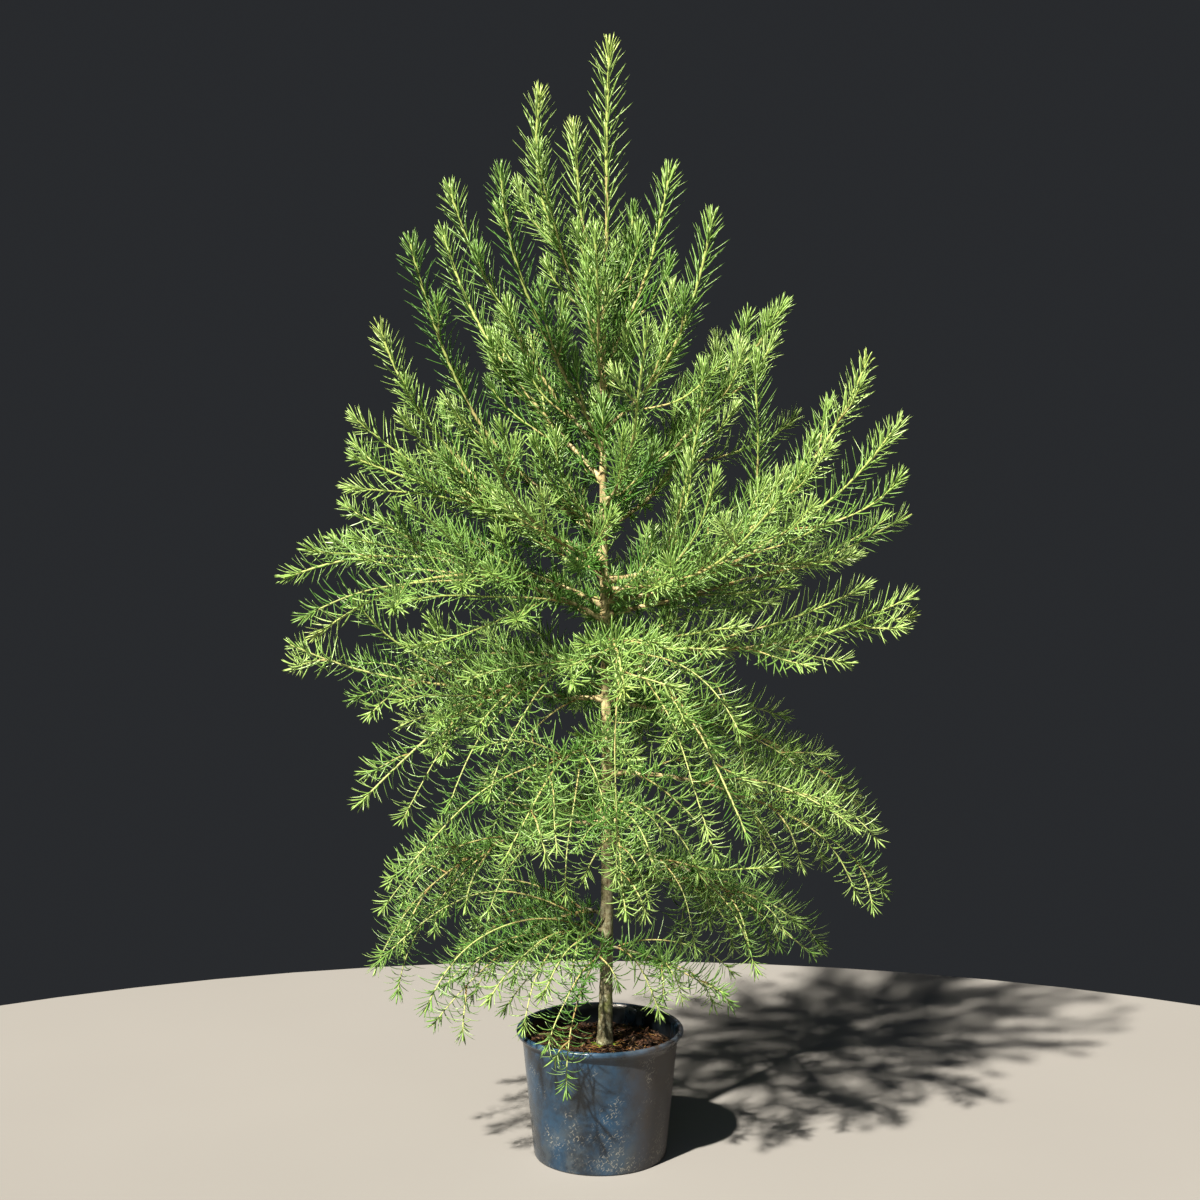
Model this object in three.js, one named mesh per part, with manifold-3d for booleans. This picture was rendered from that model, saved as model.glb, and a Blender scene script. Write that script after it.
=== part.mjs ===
// A young European larch, about 2 m tall, in a round plastic nursery pot.
// Millimetres, +Z up. The origin is the centre of the pot's flat underside; +X is the
// tree's right and +Y its back, seen from the front.
import * as THREE from 'three';
import { mergeVertices } from 'three/addons/utils/BufferGeometryUtils.js';
import Module from 'manifold-3d';

const wasm = await Module();
wasm.setup();

// Clearance between pieces that meet
const GAP = 0.3;

// Pot: a tapering wall under a rolled lip, with drain holes round the floor
const POT = {
  height: 235,
  rimRadius: 150,
  wallRadius: 140,
  baseRadius: 119,
  wall: 3,
  floor: 4,
  footBevel: 4,
  lipHeight: 13,
  lipRound: 4.5,
  drains: 6,
  drainRadius: 8,
  drainInset: 22,
  drainSides: 8,
  sides: 36,
};

// Compost: fills the pot to a little under the lip, and swells towards a flat seat for the stem
const COMPOST = { edge: 199, shoulder: 202, crown: 204, seatRadius: 45, shoulderRadius: 95 };

// Trunk: foot and top of the bare stem, its radii, its root flare, its offset and slight sway,
// and the shares of its height that the rings of the flare stand at
const TRUNK = {
  foot: COMPOST.crown + GAP,
  top: 1570,
  footRadius: 12.5,
  topRadius: 3.6,
  flare: 3,
  flareHeight: 26,
  flareRings: [0, 0.008, 0.022],
  offset: 9,
  sway: 4,
  swayLength: 1500,
  rings: 14,
  sides: 9,
};

// Leader: this year's top shoot, which goes on from the trunk to the tip of the tree
const LEADER = { rise: 392, lean: 10, tipRadius: 1.5 };

// Boughs, from the top down. z is the height where a bough leaves the trunk and turn its
// bearing from +X towards +Y in degrees. reach and rise lead from there to its tip. bow is how
// far its middle sags under that line, or stands over it if negative. wood is the length of its
// bare limb, where it has one, and twigs the number of its side shoots.
const BOUGHS = [
  { z: 1535, turn: 195, reach: 54, rise: 290, bow: 12, twigs: 0 },
  { z: 1472, turn: 160, reach: 115, rise: 415, bow: 45, twigs: 1 },
  { z: 1400, turn: 60, reach: 110, rise: 290, bow: 20, twigs: 1 },
  { z: 1394, turn: 20, reach: 124, rise: 362, bow: 15, twigs: 1 },
  { z: 1380, turn: 265, reach: 150, rise: 270, bow: 30, twigs: 1 },
  { z: 1308, turn: 340, reach: 196, rise: 366, bow: 45, twigs: 2 },
  { z: 1282, turn: 215, reach: 207, rise: 464, bow: 35, twigs: 2 },
  { z: 1273, turn: 172, reach: 268, rise: 452, bow: 30, twigs: 1 },
  { z: 1240, turn: 85, reach: 290, rise: 390, bow: 50, twigs: 2 },
  { z: 1221, turn: 150, reach: 330, rise: 430, bow: 40, twigs: 2 },
  { z: 1186, turn: 10, reach: 322, rise: 340, bow: 30, wood: 90, twigs: 4 },
  { z: 1165, turn: 285, reach: 280, rise: 330, bow: 50, twigs: 2 },
  { z: 1135, turn: 45, reach: 380, rise: 370, bow: 60, twigs: 3 },
  { z: 1124, turn: 192, reach: 335, rise: 510, bow: 70, wood: 120, twigs: 3 },
  { z: 1108, turn: 110, reach: 400, rise: 350, bow: 60, twigs: 3 },
  { z: 1090, turn: 170, reach: 400, rise: 395, bow: 70, twigs: 3 },
  { z: 1075, turn: 238, reach: 370, rise: 240, bow: 40, twigs: 3 },
  { z: 1050, turn: 187, reach: 436, rise: 215, bow: -20, wood: 120, twigs: 4 },
  { z: 1045, turn: 5, reach: 462, rise: 385, bow: 95, wood: 110, twigs: 4 },
  { z: 1030, turn: 316, reach: 400, rise: 190, bow: 50, twigs: 4 },
  { z: 1010, turn: 348, reach: 495, rise: 300, bow: 60, wood: 120, twigs: 3 },
  { z: 1000, turn: 178, reach: 565, rise: 45, bow: -60, wood: 130, twigs: 4 },
  { z: 985, turn: 24, reach: 570, rise: 145, bow: 25, twigs: 3 },
  { z: 974, turn: 205, reach: 535, rise: 5, bow: -90, twigs: 3 },
  { z: 960, turn: 80, reach: 500, rise: 120, bow: 20, twigs: 3 },
  { z: 945, turn: 275, reach: 350, rise: -40, bow: -30, wood: 90, twigs: 3 },
  { z: 939, turn: 355, reach: 535, rise: 50, bow: 30, twigs: 4 },
  { z: 925, turn: 308, reach: 380, rise: -270, bow: -60, twigs: 3 },
  { z: 915, turn: 205, reach: 462, rise: -228, bow: -45, wood: 110, twigs: 4 },
  { z: 880, turn: 140, reach: 470, rise: -70, bow: -50, twigs: 3 },
  { z: 835, turn: 188, reach: 550, rise: 108, bow: 25, wood: 120, twigs: 4 },
  { z: 832, turn: 25, reach: 515, rise: -230, bow: -40, wood: 120, twigs: 4 },
  { z: 800, turn: 70, reach: 470, rise: -100, bow: -40, twigs: 3 },
  { z: 760, turn: 245, reach: 400, rise: -130, bow: -50, twigs: 3 },
  { z: 700, turn: 358, reach: 495, rise: -215, bow: -65, wood: 110, twigs: 4 },
  { z: 655, turn: 275, reach: 350, rise: -120, bow: -40, twigs: 3 },
  { z: 630, turn: 110, reach: 430, rise: -170, bow: -50, twigs: 3 },
  { z: 610, turn: 188, reach: 415, rise: -255, bow: -85, wood: 100, twigs: 4 },
  { z: 579, turn: 343, reach: 380, rise: -180, bow: -25, twigs: 3 },
  { z: 500, turn: 45, reach: 360, rise: -140, bow: -40, twigs: 3 },
  { z: 440, turn: 140, reach: 350, rise: -130, bow: -45, twigs: 3 },
  { z: 414, turn: 205, reach: 335, rise: -132, bow: -55, twigs: 3 },
  { z: 396, turn: 251, reach: 215, rise: -215, bow: -60, twigs: 2 },
  { z: 386, turn: 322, reach: 261, rise: -40, bow: -10, twigs: 3 },
];

// Limbs and main shoots: radius at the trunk for each millimetre of length and the least it
// may be, the share of it left where the bare wood ends, and the radius at the tip
const LIMB = { rootShare: 0.0078, rootLeast: 2.3, woodEnd: 0.75, tipRadius: 1.3, sides: 6, pitch: 40 };

// Side shoots: where on a main shoot they stand, their length as a share of its reach, how that
// shrinks towards its tip, and how they spread. Above the level height they lift, and below it
// they hang.
const TWIG = {
  first: 0.08,
  last: 0.82,
  share: 0.4,
  shrink: 0.45,
  varyLeast: 0.8,
  varyMost: 1.25,
  spreadLeast: 35,
  spreadMost: 60,
  levelHeight: 960,
  liftHeight: 330,
  liftMost: 0.75,
  bow: 0.16,
  rootRadius: 1.9,
  tipRadius: 1.2,
  room: 10,
};

// Needles: each is a four-faced spike, and three stand round the shoot at every node. bare is
// the foot of a shoot, and tuft the stretch at its tip, that have none. Their lean towards the
// tip grows along the shoot.
const NEEDLE = {
  length: 31,
  base: 9,
  radius: 2.2,
  around: 3,
  pitch: 66,
  bare: 26,
  tuft: 13.5,
  leanFoot: 40,
  leanTip: 62,
  turn: 50,
};

// Room that a shoot's own skin takes around its core
const SKIN = 1;

// A linear congruential rule, which gives the same numbers in any language
const DRAW = { stride: 7919, first: 17, factor: 1664525, step: 1013904223, span: 4294967296 };

const UP = new THREE.Vector3(0, 0, 1);
const { lerp, degToRad, clamp } = THREE.MathUtils;

// Numbers from 0 to 1 in an order that each seed fixes
function seeded(seed) {
  let state = seed * DRAW.stride + DRAW.first;
  return () => {
    state = (state * DRAW.factor + DRAW.step) % DRAW.span;
    return state / DRAW.span;
  };
}

// A closed manifold solid from a geometry, with its doubled vertices merged
function solidOf(geometry) {
  const bare = new THREE.BufferGeometry();
  bare.setAttribute('position', geometry.getAttribute('position'));
  bare.setIndex(geometry.getIndex());
  const merged = mergeVertices(bare, 1e-3);
  const index = merged.getIndex().array;
  const faces = [];
  for (let i = 0; i < index.length; i += 3) {
    const [a, b, c] = [index[i], index[i + 1], index[i + 2]];
    if (a !== b && b !== c && a !== c) faces.push(a, b, c);
  }
  return new wasm.Manifold(
    new wasm.Mesh({
      numProp: 3,
      vertProperties: new Float32Array(merged.getAttribute('position').array),
      triVerts: new Uint32Array(faces),
    }),
  );
}

// A geometry for three.js from a manifold solid
function geometryOf(solid) {
  const mesh = solid.getMesh();
  const geometry = new THREE.BufferGeometry();
  geometry.setAttribute('position', new THREE.BufferAttribute(mesh.vertProperties, 3));
  geometry.setIndex(new THREE.BufferAttribute(mesh.triVerts, 1));
  geometry.computeVertexNormals();
  return geometry;
}

// A geometry from points and the indices of its triangles
function indexed(points, faces) {
  const geometry = new THREE.BufferGeometry().setFromPoints(points);
  geometry.setIndex(faces);
  return geometry;
}

// A solid turned about Z from a profile of [radius, height] points
function turned(profile) {
  const points = profile.map(([radius, height]) => new THREE.Vector2(radius, height));
  return solidOf(new THREE.LatheGeometry(points, POT.sides).rotateX(Math.PI / 2));
}

// Outer radius of the pot's wall at a height
function wallRadius(z) {
  return lerp(POT.baseRadius, POT.wallRadius, z / (POT.height - POT.lipHeight));
}

function potSolid() {
  const { height, rimRadius, baseRadius, wall, floor, footBevel, lipHeight, lipRound } = POT;
  const lipFoot = height - lipHeight;
  const inner = wallRadius(lipFoot) - wall;
  const shell = turned([
    [0, 0],
    [baseRadius - footBevel, 0],
    [wallRadius(footBevel), footBevel],
    [POT.wallRadius, lipFoot],
    [rimRadius - lipRound / 2, lipFoot],
    [rimRadius, lipFoot + lipRound],
    [rimRadius, height - lipRound],
    [rimRadius - lipRound, height],
    [inner + lipRound, height],
    [inner, height - lipRound],
    [inner, lipFoot],
    [wallRadius(floor) - wall, floor],
    [0, floor],
  ]);
  return drainHoles().reduce((pot, hole) => pot.subtract(hole), shell);
}

function drainHoles() {
  const { drains, drainRadius, drainInset, drainSides, baseRadius, floor } = POT;
  const ringRadius = baseRadius - drainInset;
  return Array.from({ length: drains }, (_, i) => {
    const angle = (2 * Math.PI * i) / drains;
    const hole = new THREE.CylinderGeometry(drainRadius, drainRadius, 4 * floor, drainSides);
    hole.rotateX(Math.PI / 2);
    hole.translate(ringRadius * Math.cos(angle), ringRadius * Math.sin(angle), 0);
    return solidOf(hole);
  });
}

function compostSolid() {
  const { edge, shoulder, crown, seatRadius, shoulderRadius } = COMPOST;
  const foot = POT.floor + GAP;
  const inside = (z) => wallRadius(z) - POT.wall - GAP;
  return turned([
    [0, foot],
    [inside(foot), foot],
    [inside(edge), edge],
    [shoulderRadius, shoulder],
    [seatRadius, crown],
    [0, crown],
  ]);
}

// Centre of the trunk at a height
function trunkCentre(z) {
  const { foot, offset, sway, swayLength } = TRUNK;
  const phase = (2 * Math.PI * (z - foot)) / swayLength;
  return new THREE.Vector3(offset + sway * Math.sin(phase), (sway * (Math.cos(phase) - 1)) / 2, z);
}

function trunkRadius(z) {
  const share = (z - TRUNK.foot) / (TRUNK.top - TRUNK.foot);
  const flare = TRUNK.flare * Math.exp((TRUNK.foot - z) / TRUNK.flareHeight);
  return lerp(TRUNK.footRadius, TRUNK.topRadius, share) + flare;
}

class TrunkCurve extends THREE.Curve {
  getPoint(t, target = new THREE.Vector3()) {
    return target.copy(trunkCentre(lerp(TRUNK.foot, TRUNK.top, t)));
  }
}

// A run from a point whose middle sags under its straight line, or stands over it
class BowedCurve extends THREE.Curve {
  constructor(from, along, bow) {
    super();
    this.from = from;
    this.along = along;
    const sideways = along.clone().cross(UP).normalize();
    this.sag = along.clone().cross(sideways).normalize().multiplyScalar(bow);
  }

  getPoint(t, target = new THREE.Vector3()) {
    target.copy(this.from).addScaledVector(this.along, t);
    return target.addScaledVector(this.sag, 4 * t * (1 - t));
  }
}

// Points on a ring about a centre, in the plane of two unit vectors
function ring(centre, across, over, radius, sides, turn) {
  return Array.from({ length: sides }, (_, i) => {
    const angle = turn + (2 * Math.PI * i) / sides;
    const point = centre.clone().addScaledVector(across, radius * Math.cos(angle));
    return point.addScaledVector(over, radius * Math.sin(angle));
  });
}

// Frames along a curve that don't twist: [centre, tangent, across, over] at each station
function framesAt(curve, stations) {
  let across = new THREE.Vector3(0, 1, 0);
  return stations.map((t) => {
    const tangent = curve.getTangent(t);
    across = across.clone().addScaledVector(tangent, -across.dot(tangent)).normalize();
    return [curve.getPoint(t), tangent, across, tangent.clone().cross(across)];
  });
}

// A round limb that tapers along a curve, with flat ends
function limbSolid(curve, stations, radiusAt, sides) {
  const points = framesAt(curve, stations).flatMap(([centre, , across, over], i) =>
    ring(centre, across, over, radiusAt(stations[i]), sides, 0),
  );
  const last = points.length - sides;
  const faces = [];
  for (let i = 1; i + 1 < sides; i++) faces.push(0, i + 1, i, last, last + i, last + i + 1);
  for (let i = 0; i < last; i += sides) {
    for (let j = 0; j < sides; j++) {
      const [a, b] = [i + j, i + ((j + 1) % sides)];
      faces.push(a, b, b + sides, a, b + sides, a + sides);
    }
  }
  return solidOf(indexed(points, faces));
}

// The trunk, made larger all round by extra
function trunkSolid(extra) {
  const flareEnd = TRUNK.flareRings.at(-1);
  const stations = [...TRUNK.flareRings];
  for (let i = 1; i <= TRUNK.rings; i++) stations.push(lerp(flareEnd, 1, i / TRUNK.rings));
  const radiusAt = (t) => trunkRadius(lerp(TRUNK.foot, TRUNK.top, t)) + extra;
  return limbSolid(new TrunkCurve(), stations, radiusAt, TRUNK.sides);
}

// Shortest distance between the segments a-b and c-d
function segmentDistance(a, b, c, d) {
  const u = b.clone().sub(a);
  const v = d.clone().sub(c);
  const w = a.clone().sub(c);
  const [uu, uv, vv, uw, vw] = [u.dot(u), u.dot(v), v.dot(v), u.dot(w), v.dot(w)];
  const det = uu * vv - uv * uv;
  let s = det > 1e-9 ? clamp((uv * vw - vv * uw) / det, 0, 1) : 0;
  const t = clamp((uv * s + vw) / vv, 0, 1);
  s = clamp((uv * t - uw) / uu, 0, 1);
  return w.addScaledVector(u, s).addScaledVector(v, -t).length();
}

// Stretches of wood and needle that other branches keep clear of: { a, b, radius, owner }
const placed = [];

// True if a stretch from a to b is clear of the pot and of every other owner's stretches
function isClear(a, b, radius, owner) {
  const overPot = Math.min(a.z, b.z) > POT.height + radius;
  const besidePot = Math.min(Math.hypot(a.x, a.y), Math.hypot(b.x, b.y)) > POT.rimRadius + radius;
  const touches = (other) =>
    other.owner !== owner &&
    segmentDistance(a, b, other.a, other.b) <= radius + other.radius + 2 * GAP;
  return (overPot || besidePot) && !placed.some(touches);
}

// A shoot: a slim three-sided core along part of a curve, with its needles
class Shoot {
  constructor({ owner, curve, start = 0, rootRadius, tipRadius, phase }) {
    Object.assign(this, { owner, curve, start, rootRadius, tipRadius, phase });
    this.length = curve.getLength() * (1 - start);
    const count = Math.max(2, Math.round(this.length / LIMB.pitch));
    const points = Array.from({ length: count + 1 }, (_, i) => this.pointAt(i / count));
    const radius = rootRadius + SKIN;
    this.runs = points.slice(1).map((b, i) => ({ a: points[i], b, radius, owner }));
  }

  pointAt(share) {
    return this.curve.getPoint(lerp(this.start, 1, share));
  }

  // True if the shoot past its foot is clear of other branches
  fits() {
    return this.runs.slice(1).every(({ a, b }) => isClear(a, b, TWIG.room, this.owner));
  }

  // Where each ring of needles starts, as shares of the shoot's length
  nodes() {
    const usable = this.length - NEEDLE.bare - NEEDLE.tuft;
    const count = Math.max(1, Math.floor(usable / NEEDLE.pitch));
    const step = usable / count;
    return Array.from({ length: count + 1 }, (_, i) => (NEEDLE.bare + step * i) / this.length);
  }

  // The core's rings stand in pairs, and each face between a pair carries a needle if it is clear
  solid() {
    const base = NEEDLE.base / this.length;
    const shares = [0, ...this.nodes().flatMap((at) => [at, at + base])];
    const frames = framesAt(this.curve, shares.map((share) => lerp(this.start, 1, share)));
    const points = frames.flatMap(([centre, , across, over], i) => {
      const turn = this.phase + degToRad(NEEDLE.turn) * Math.ceil(i / 2);
      const radius = lerp(this.rootRadius, this.tipRadius, shares[i]);
      return ring(centre, across, over, radius, NEEDLE.around, turn);
    });
    const last = points.length - NEEDLE.around;
    const faces = [0, 2, 1];
    for (let i = 0; i + 1 < frames.length; i++) {
      for (let j = 0; j < NEEDLE.around; j++) {
        const a = i * NEEDLE.around + j;
        const b = i * NEEDLE.around + ((j + 1) % NEEDLE.around);
        const [c, d] = [b + NEEDLE.around, a + NEEDLE.around];
        const tip = i % 2 ? this.needleTip(points[a], points[b], frames[i], shares[i]) : null;
        const e = tip ? points.push(tip) - 1 : d;
        if (tip) faces.push(a, b, e, b, c, e, c, d, e, d, a, e);
        else faces.push(a, b, c, a, c, d);
      }
    }
    const end = points.push(this.pointAt(1)) - 1;
    faces.push(last, last + 1, end, last + 1, last + 2, end, last + 2, last, end);
    return solidOf(indexed(points, faces));
  }

  // Where a needle on the face over points a and b ends, or null if it would touch something
  needleTip(a, b, [centre, tangent], share) {
    const root = a.clone().add(b).divideScalar(2);
    root.addScaledVector(tangent, NEEDLE.base / 2);
    const out = root.clone().sub(centre);
    out.addScaledVector(tangent, -out.dot(tangent)).normalize();
    const lean = degToRad(lerp(NEEDLE.leanFoot, NEEDLE.leanTip, share));
    const tip = root.clone().addScaledVector(out, NEEDLE.length * Math.cos(lean));
    tip.addScaledVector(tangent, NEEDLE.length * Math.sin(lean));
    if (!isClear(root, tip, NEEDLE.radius, this.owner)) return null;
    placed.push({ a: root, b: tip, radius: NEEDLE.radius, owner: this.owner });
    return tip;
  }
}

// A bough's curve, its bare limb's radii and length, and the main shoot that goes on from it
function branchOf(bough, i) {
  const owner = i + 1;
  const angle = degToRad(bough.turn);
  const { reach, rise, bow, wood = 0 } = bough;
  const along = new THREE.Vector3(reach * Math.cos(angle), reach * Math.sin(angle), rise);
  const curve = new BowedCurve(trunkCentre(bough.z), along, bow);
  const length = curve.getLength();
  const rootRadius = Math.max(LIMB.rootLeast, LIMB.rootShare * length);
  const endRadius = rootRadius * (wood ? LIMB.woodEnd : 1);
  const start = wood ? (wood + GAP) / length : 0;
  const { tipRadius } = LIMB;
  const stem = new Shoot({ owner, curve, start, rootRadius: endRadius, tipRadius, phase: owner });
  return { ...bough, wood, owner, curve, length, rootRadius, endRadius, stem };
}

// The side shoots of a branch, by its seed: in turn to the left and right of its main shoot
function sideShoots({ z, reach, twigs, owner, stem }) {
  const random = seeded(owner);
  const lift = clamp((z - TWIG.levelHeight) / TWIG.liftHeight, -TWIG.liftMost, TWIG.liftMost);
  return Array.from({ length: twigs }, (_, k) => {
    const share = lerp(TWIG.first, TWIG.last, (k + random()) / twigs);
    const spread = degToRad(lerp(TWIG.spreadLeast, TWIG.spreadMost, random()));
    const vary = lerp(TWIG.varyLeast, TWIG.varyMost, random());
    const length = TWIG.share * reach * (1 - TWIG.shrink * share) * vary;
    const phase = random() * 2 * Math.PI;
    const tangent = stem.curve.getTangent(lerp(stem.start, 1, share));
    const sideways = tangent.clone().cross(UP).normalize();
    const along = tangent.multiplyScalar(Math.cos(spread));
    along.addScaledVector(sideways, (k % 2 ? 1 : -1) * Math.sin(spread));
    along.addScaledVector(UP, lift).setLength(length);
    const curve = new BowedCurve(stem.pointAt(share), along, TWIG.bow * lift * length);
    const { rootRadius, tipRadius } = TWIG;
    return new Shoot({ owner, curve, rootRadius, tipRadius, phase });
  });
}

function limbOf({ wood, length, curve, rootRadius, endRadius }) {
  const steps = Math.ceil(wood / LIMB.pitch);
  const end = wood / length;
  const stations = Array.from({ length: steps + 1 }, (_, i) => (end * i) / steps);
  const radiusAt = (t) => lerp(rootRadius, endRadius, t / end);
  return limbSolid(curve, stations, radiusAt, LIMB.sides);
}

// The trunk, the bare limbs and the main shoots claim their room before any side shoot does
function claimWood(leader, branches) {
  const heightAt = (i) => lerp(TRUNK.foot, TRUNK.top, i / TRUNK.rings);
  for (let i = 0; i < TRUNK.rings; i++) {
    const [a, b] = [trunkCentre(heightAt(i)), trunkCentre(heightAt(i + 1))];
    placed.push({ a, b, radius: trunkRadius(a.z) + SKIN, owner: 'trunk' });
  }
  placed.push(...leader.runs);
  for (const { wood, length, owner, curve, rootRadius, stem } of branches) {
    placed.push(...stem.runs);
    const [a, b] = [curve.getPoint(0), curve.getPoint(wood / length)];
    if (wood) placed.push({ a, b, radius: rootRadius, owner });
  }
}

// The side shoots that have room, each of which then claims it
function sideShootsWithRoom(branch) {
  return sideShoots(branch).filter((shoot) => {
    const room = shoot.fits();
    if (room) placed.push(...shoot.runs);
    return room;
  });
}

const LOOKS = {
  pot: { color: 0x23282e, roughness: 0.42, metalness: 0 },
  compost: { color: 0x3a2619, roughness: 0.95, metalness: 0 },
  bark: { color: 0x8a6a48, roughness: 0.85, metalness: 0 },
  needles: { color: 0x6f9e3a, roughness: 0.55, metalness: 0 },
};

function node(name, solid, look) {
  const mesh = new THREE.Mesh(geometryOf(solid), new THREE.MeshStandardMaterial(LOOKS[look]));
  mesh.name = name;
  return mesh;
}

// The largest body of a solid: a scrap that a cut leaves is dropped
function largestBody(solid) {
  return solid.decompose().reduce((a, b) => (a.volume() > b.volume() ? a : b));
}

const leader = new Shoot({
  owner: 'leader',
  curve: new BowedCurve(
    trunkCentre(TRUNK.top + GAP),
    new THREE.Vector3(LEADER.lean, 0, LEADER.rise),
    0,
  ),
  rootRadius: TRUNK.topRadius,
  tipRadius: LEADER.tipRadius,
  phase: 0,
});
const branches = BOUGHS.map(branchOf);
claimWood(leader, branches);
const sides = branches.map(sideShootsWithRoom);

const tree = new THREE.Group();
const trunkRoom = trunkSolid(GAP);
tree.add(node('pot', potSolid(), 'pot'));
tree.add(node('compost', compostSolid(), 'compost'));
tree.add(node('trunk', trunkSolid(0), 'bark'));
tree.add(node('leader_foliage', leader.solid(), 'needles'));
branches.forEach((branch, i) => {
  const number = String(i + 1).padStart(2, '0');
  const mass = [branch.stem, ...sides[i]].map((shoot) => shoot.solid()).reduce((a, b) => a.add(b));
  if (branch.wood) tree.add(node(`bough_${number}`, limbOf(branch).subtract(trunkRoom), 'bark'));
  tree.add(node(`foliage_${number}`, largestBody(mass.subtract(trunkRoom)), 'needles'));
});

export default tree;
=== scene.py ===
"""A potted European larch, about two metres tall: pot, compost, trunk, boughs, twigs and needles.

The crown grows by the rule of the part's source and goes on from there to finer twigs. All sizes
are in millimetres until a mesh is made, and +Z is up.
"""

from __future__ import annotations

import logging
import math
from dataclasses import dataclass, field, fields
from enum import Enum
from typing import Iterator, Self, Sequence

import bpy
import numpy as np
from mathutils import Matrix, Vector, noise

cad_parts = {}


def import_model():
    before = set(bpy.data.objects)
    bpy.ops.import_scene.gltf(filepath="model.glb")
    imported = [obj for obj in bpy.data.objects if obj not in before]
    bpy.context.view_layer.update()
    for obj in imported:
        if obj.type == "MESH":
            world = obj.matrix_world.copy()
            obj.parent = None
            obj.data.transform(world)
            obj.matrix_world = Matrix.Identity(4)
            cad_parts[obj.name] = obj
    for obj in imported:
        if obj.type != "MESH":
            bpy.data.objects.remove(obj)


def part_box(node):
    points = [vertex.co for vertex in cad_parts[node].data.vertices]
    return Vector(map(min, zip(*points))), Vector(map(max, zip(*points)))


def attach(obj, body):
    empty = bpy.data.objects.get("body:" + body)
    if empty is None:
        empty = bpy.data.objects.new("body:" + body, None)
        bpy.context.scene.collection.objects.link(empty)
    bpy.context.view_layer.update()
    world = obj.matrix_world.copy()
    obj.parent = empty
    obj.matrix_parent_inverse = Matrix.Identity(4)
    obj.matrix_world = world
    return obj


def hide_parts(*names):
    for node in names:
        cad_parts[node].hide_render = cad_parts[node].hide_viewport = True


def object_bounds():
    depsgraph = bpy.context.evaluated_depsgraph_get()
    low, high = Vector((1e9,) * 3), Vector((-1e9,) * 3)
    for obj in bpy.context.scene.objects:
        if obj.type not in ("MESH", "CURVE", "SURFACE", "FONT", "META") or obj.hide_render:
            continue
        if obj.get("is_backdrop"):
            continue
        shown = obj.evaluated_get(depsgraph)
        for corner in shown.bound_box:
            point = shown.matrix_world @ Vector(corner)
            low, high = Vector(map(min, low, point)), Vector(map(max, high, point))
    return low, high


LOG = logging.getLogger("larch")

MM = 0.001
UP = np.array([0.0, 0.0, 1.0])
GOLDEN_TURN = math.radians(137.508)
LIFT_MOST = 0.75
ROOT_BODY = "root"

Array = np.ndarray
Rng = np.random.Generator
Colour = tuple[float, float, float, float]
Number = float | Array
Pair = tuple[float, float]
Socket = bpy.types.NodeSocket


def srgb(code: str) -> Colour:
    """Turns a hex colour into the linear colour that a shader takes.

    Args:
        code: Six hex digits, red first.

    Returns:
        Linear red, green and blue, and an alpha of 1.
    """
    shares = [int(code[i : i + 2], 16) / 255 for i in (0, 2, 4)]
    linear = [c / 12.92 if c <= 0.04045 else ((c + 0.055) / 1.055) ** 2.4 for c in shares]
    return (linear[0], linear[1], linear[2], 1.0)


def lerp(a: Number, b: Number, t: Number) -> Number:
    """Returns the number that is the share t of the way from a to b."""
    return a + (b - a) * t


def clamp(value: float, least: float, most: float) -> float:
    """Returns the value, kept between least and most."""
    return max(least, min(most, value))


def rising_share(level: float) -> float:
    """Returns where a shoot's level lies between hanging, at 0, and rising, at 1."""
    return (level + LIFT_MOST) / (2 * LIFT_MOST)


def full_turn(count: int) -> Array:
    """Returns that many angles, spread evenly round a full turn from 0."""
    return 2 * math.pi * np.arange(count) / count


def unit(vectors: Array) -> Array:
    """Returns the vectors, each made one long."""
    return vectors / np.linalg.norm(vectors, axis=-1, keepdims=True)


def turned(vectors: Array, others: Array, angles: Array) -> Array:
    """Returns unit vectors turned by angles towards others that are square to them."""
    return vectors * np.cos(angles)[..., None] + others * np.sin(angles)[..., None]


def level_headings(bearings: Array) -> Array:
    """Returns level unit vectors at bearings from +X towards +Y, one a row."""
    return np.stack([np.cos(bearings), np.sin(bearings), np.zeros(len(bearings))], axis=-1)


def across_and_over(heading: Array) -> tuple[Array, Array]:
    """Finds two unit vectors square to each heading, which turn evenly along them.

    Args:
        heading: Unit vectors along a run, one a row.

    Returns:
        The vectors across and over, which make a right-handed frame with the heading.
    """
    axis = np.eye(3)[np.argmin(np.abs(heading).mean(axis=0))]
    across = unit(np.cross(heading, axis))
    return across, np.cross(heading, across)


# Materials


class Sum(Enum):
    """What a shader works out from two values."""

    ADD = "ADD"
    TIMES = "MULTIPLY"
    LARGER = "MAXIMUM"
    ANGLE = "ARCTAN2"


@dataclass(frozen=True)
class Waves:
    """A noise pattern: waves to a metre, octaves, and the share that each finer octave keeps."""

    scale: float
    detail: float = 4.0
    rough: float = 0.55


@dataclass(frozen=True)
class Band:
    """The range that a value is read over, and the range that it is mapped to."""

    low: float
    high: float
    least: float = 0.0
    most: float = 1.0


@dataclass(frozen=True)
class Strokes:
    """Scattered strokes: how many to a metre, their lean in degrees, and their length in widths."""

    scale: float
    slant: float
    drawn: float = 5.5


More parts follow.
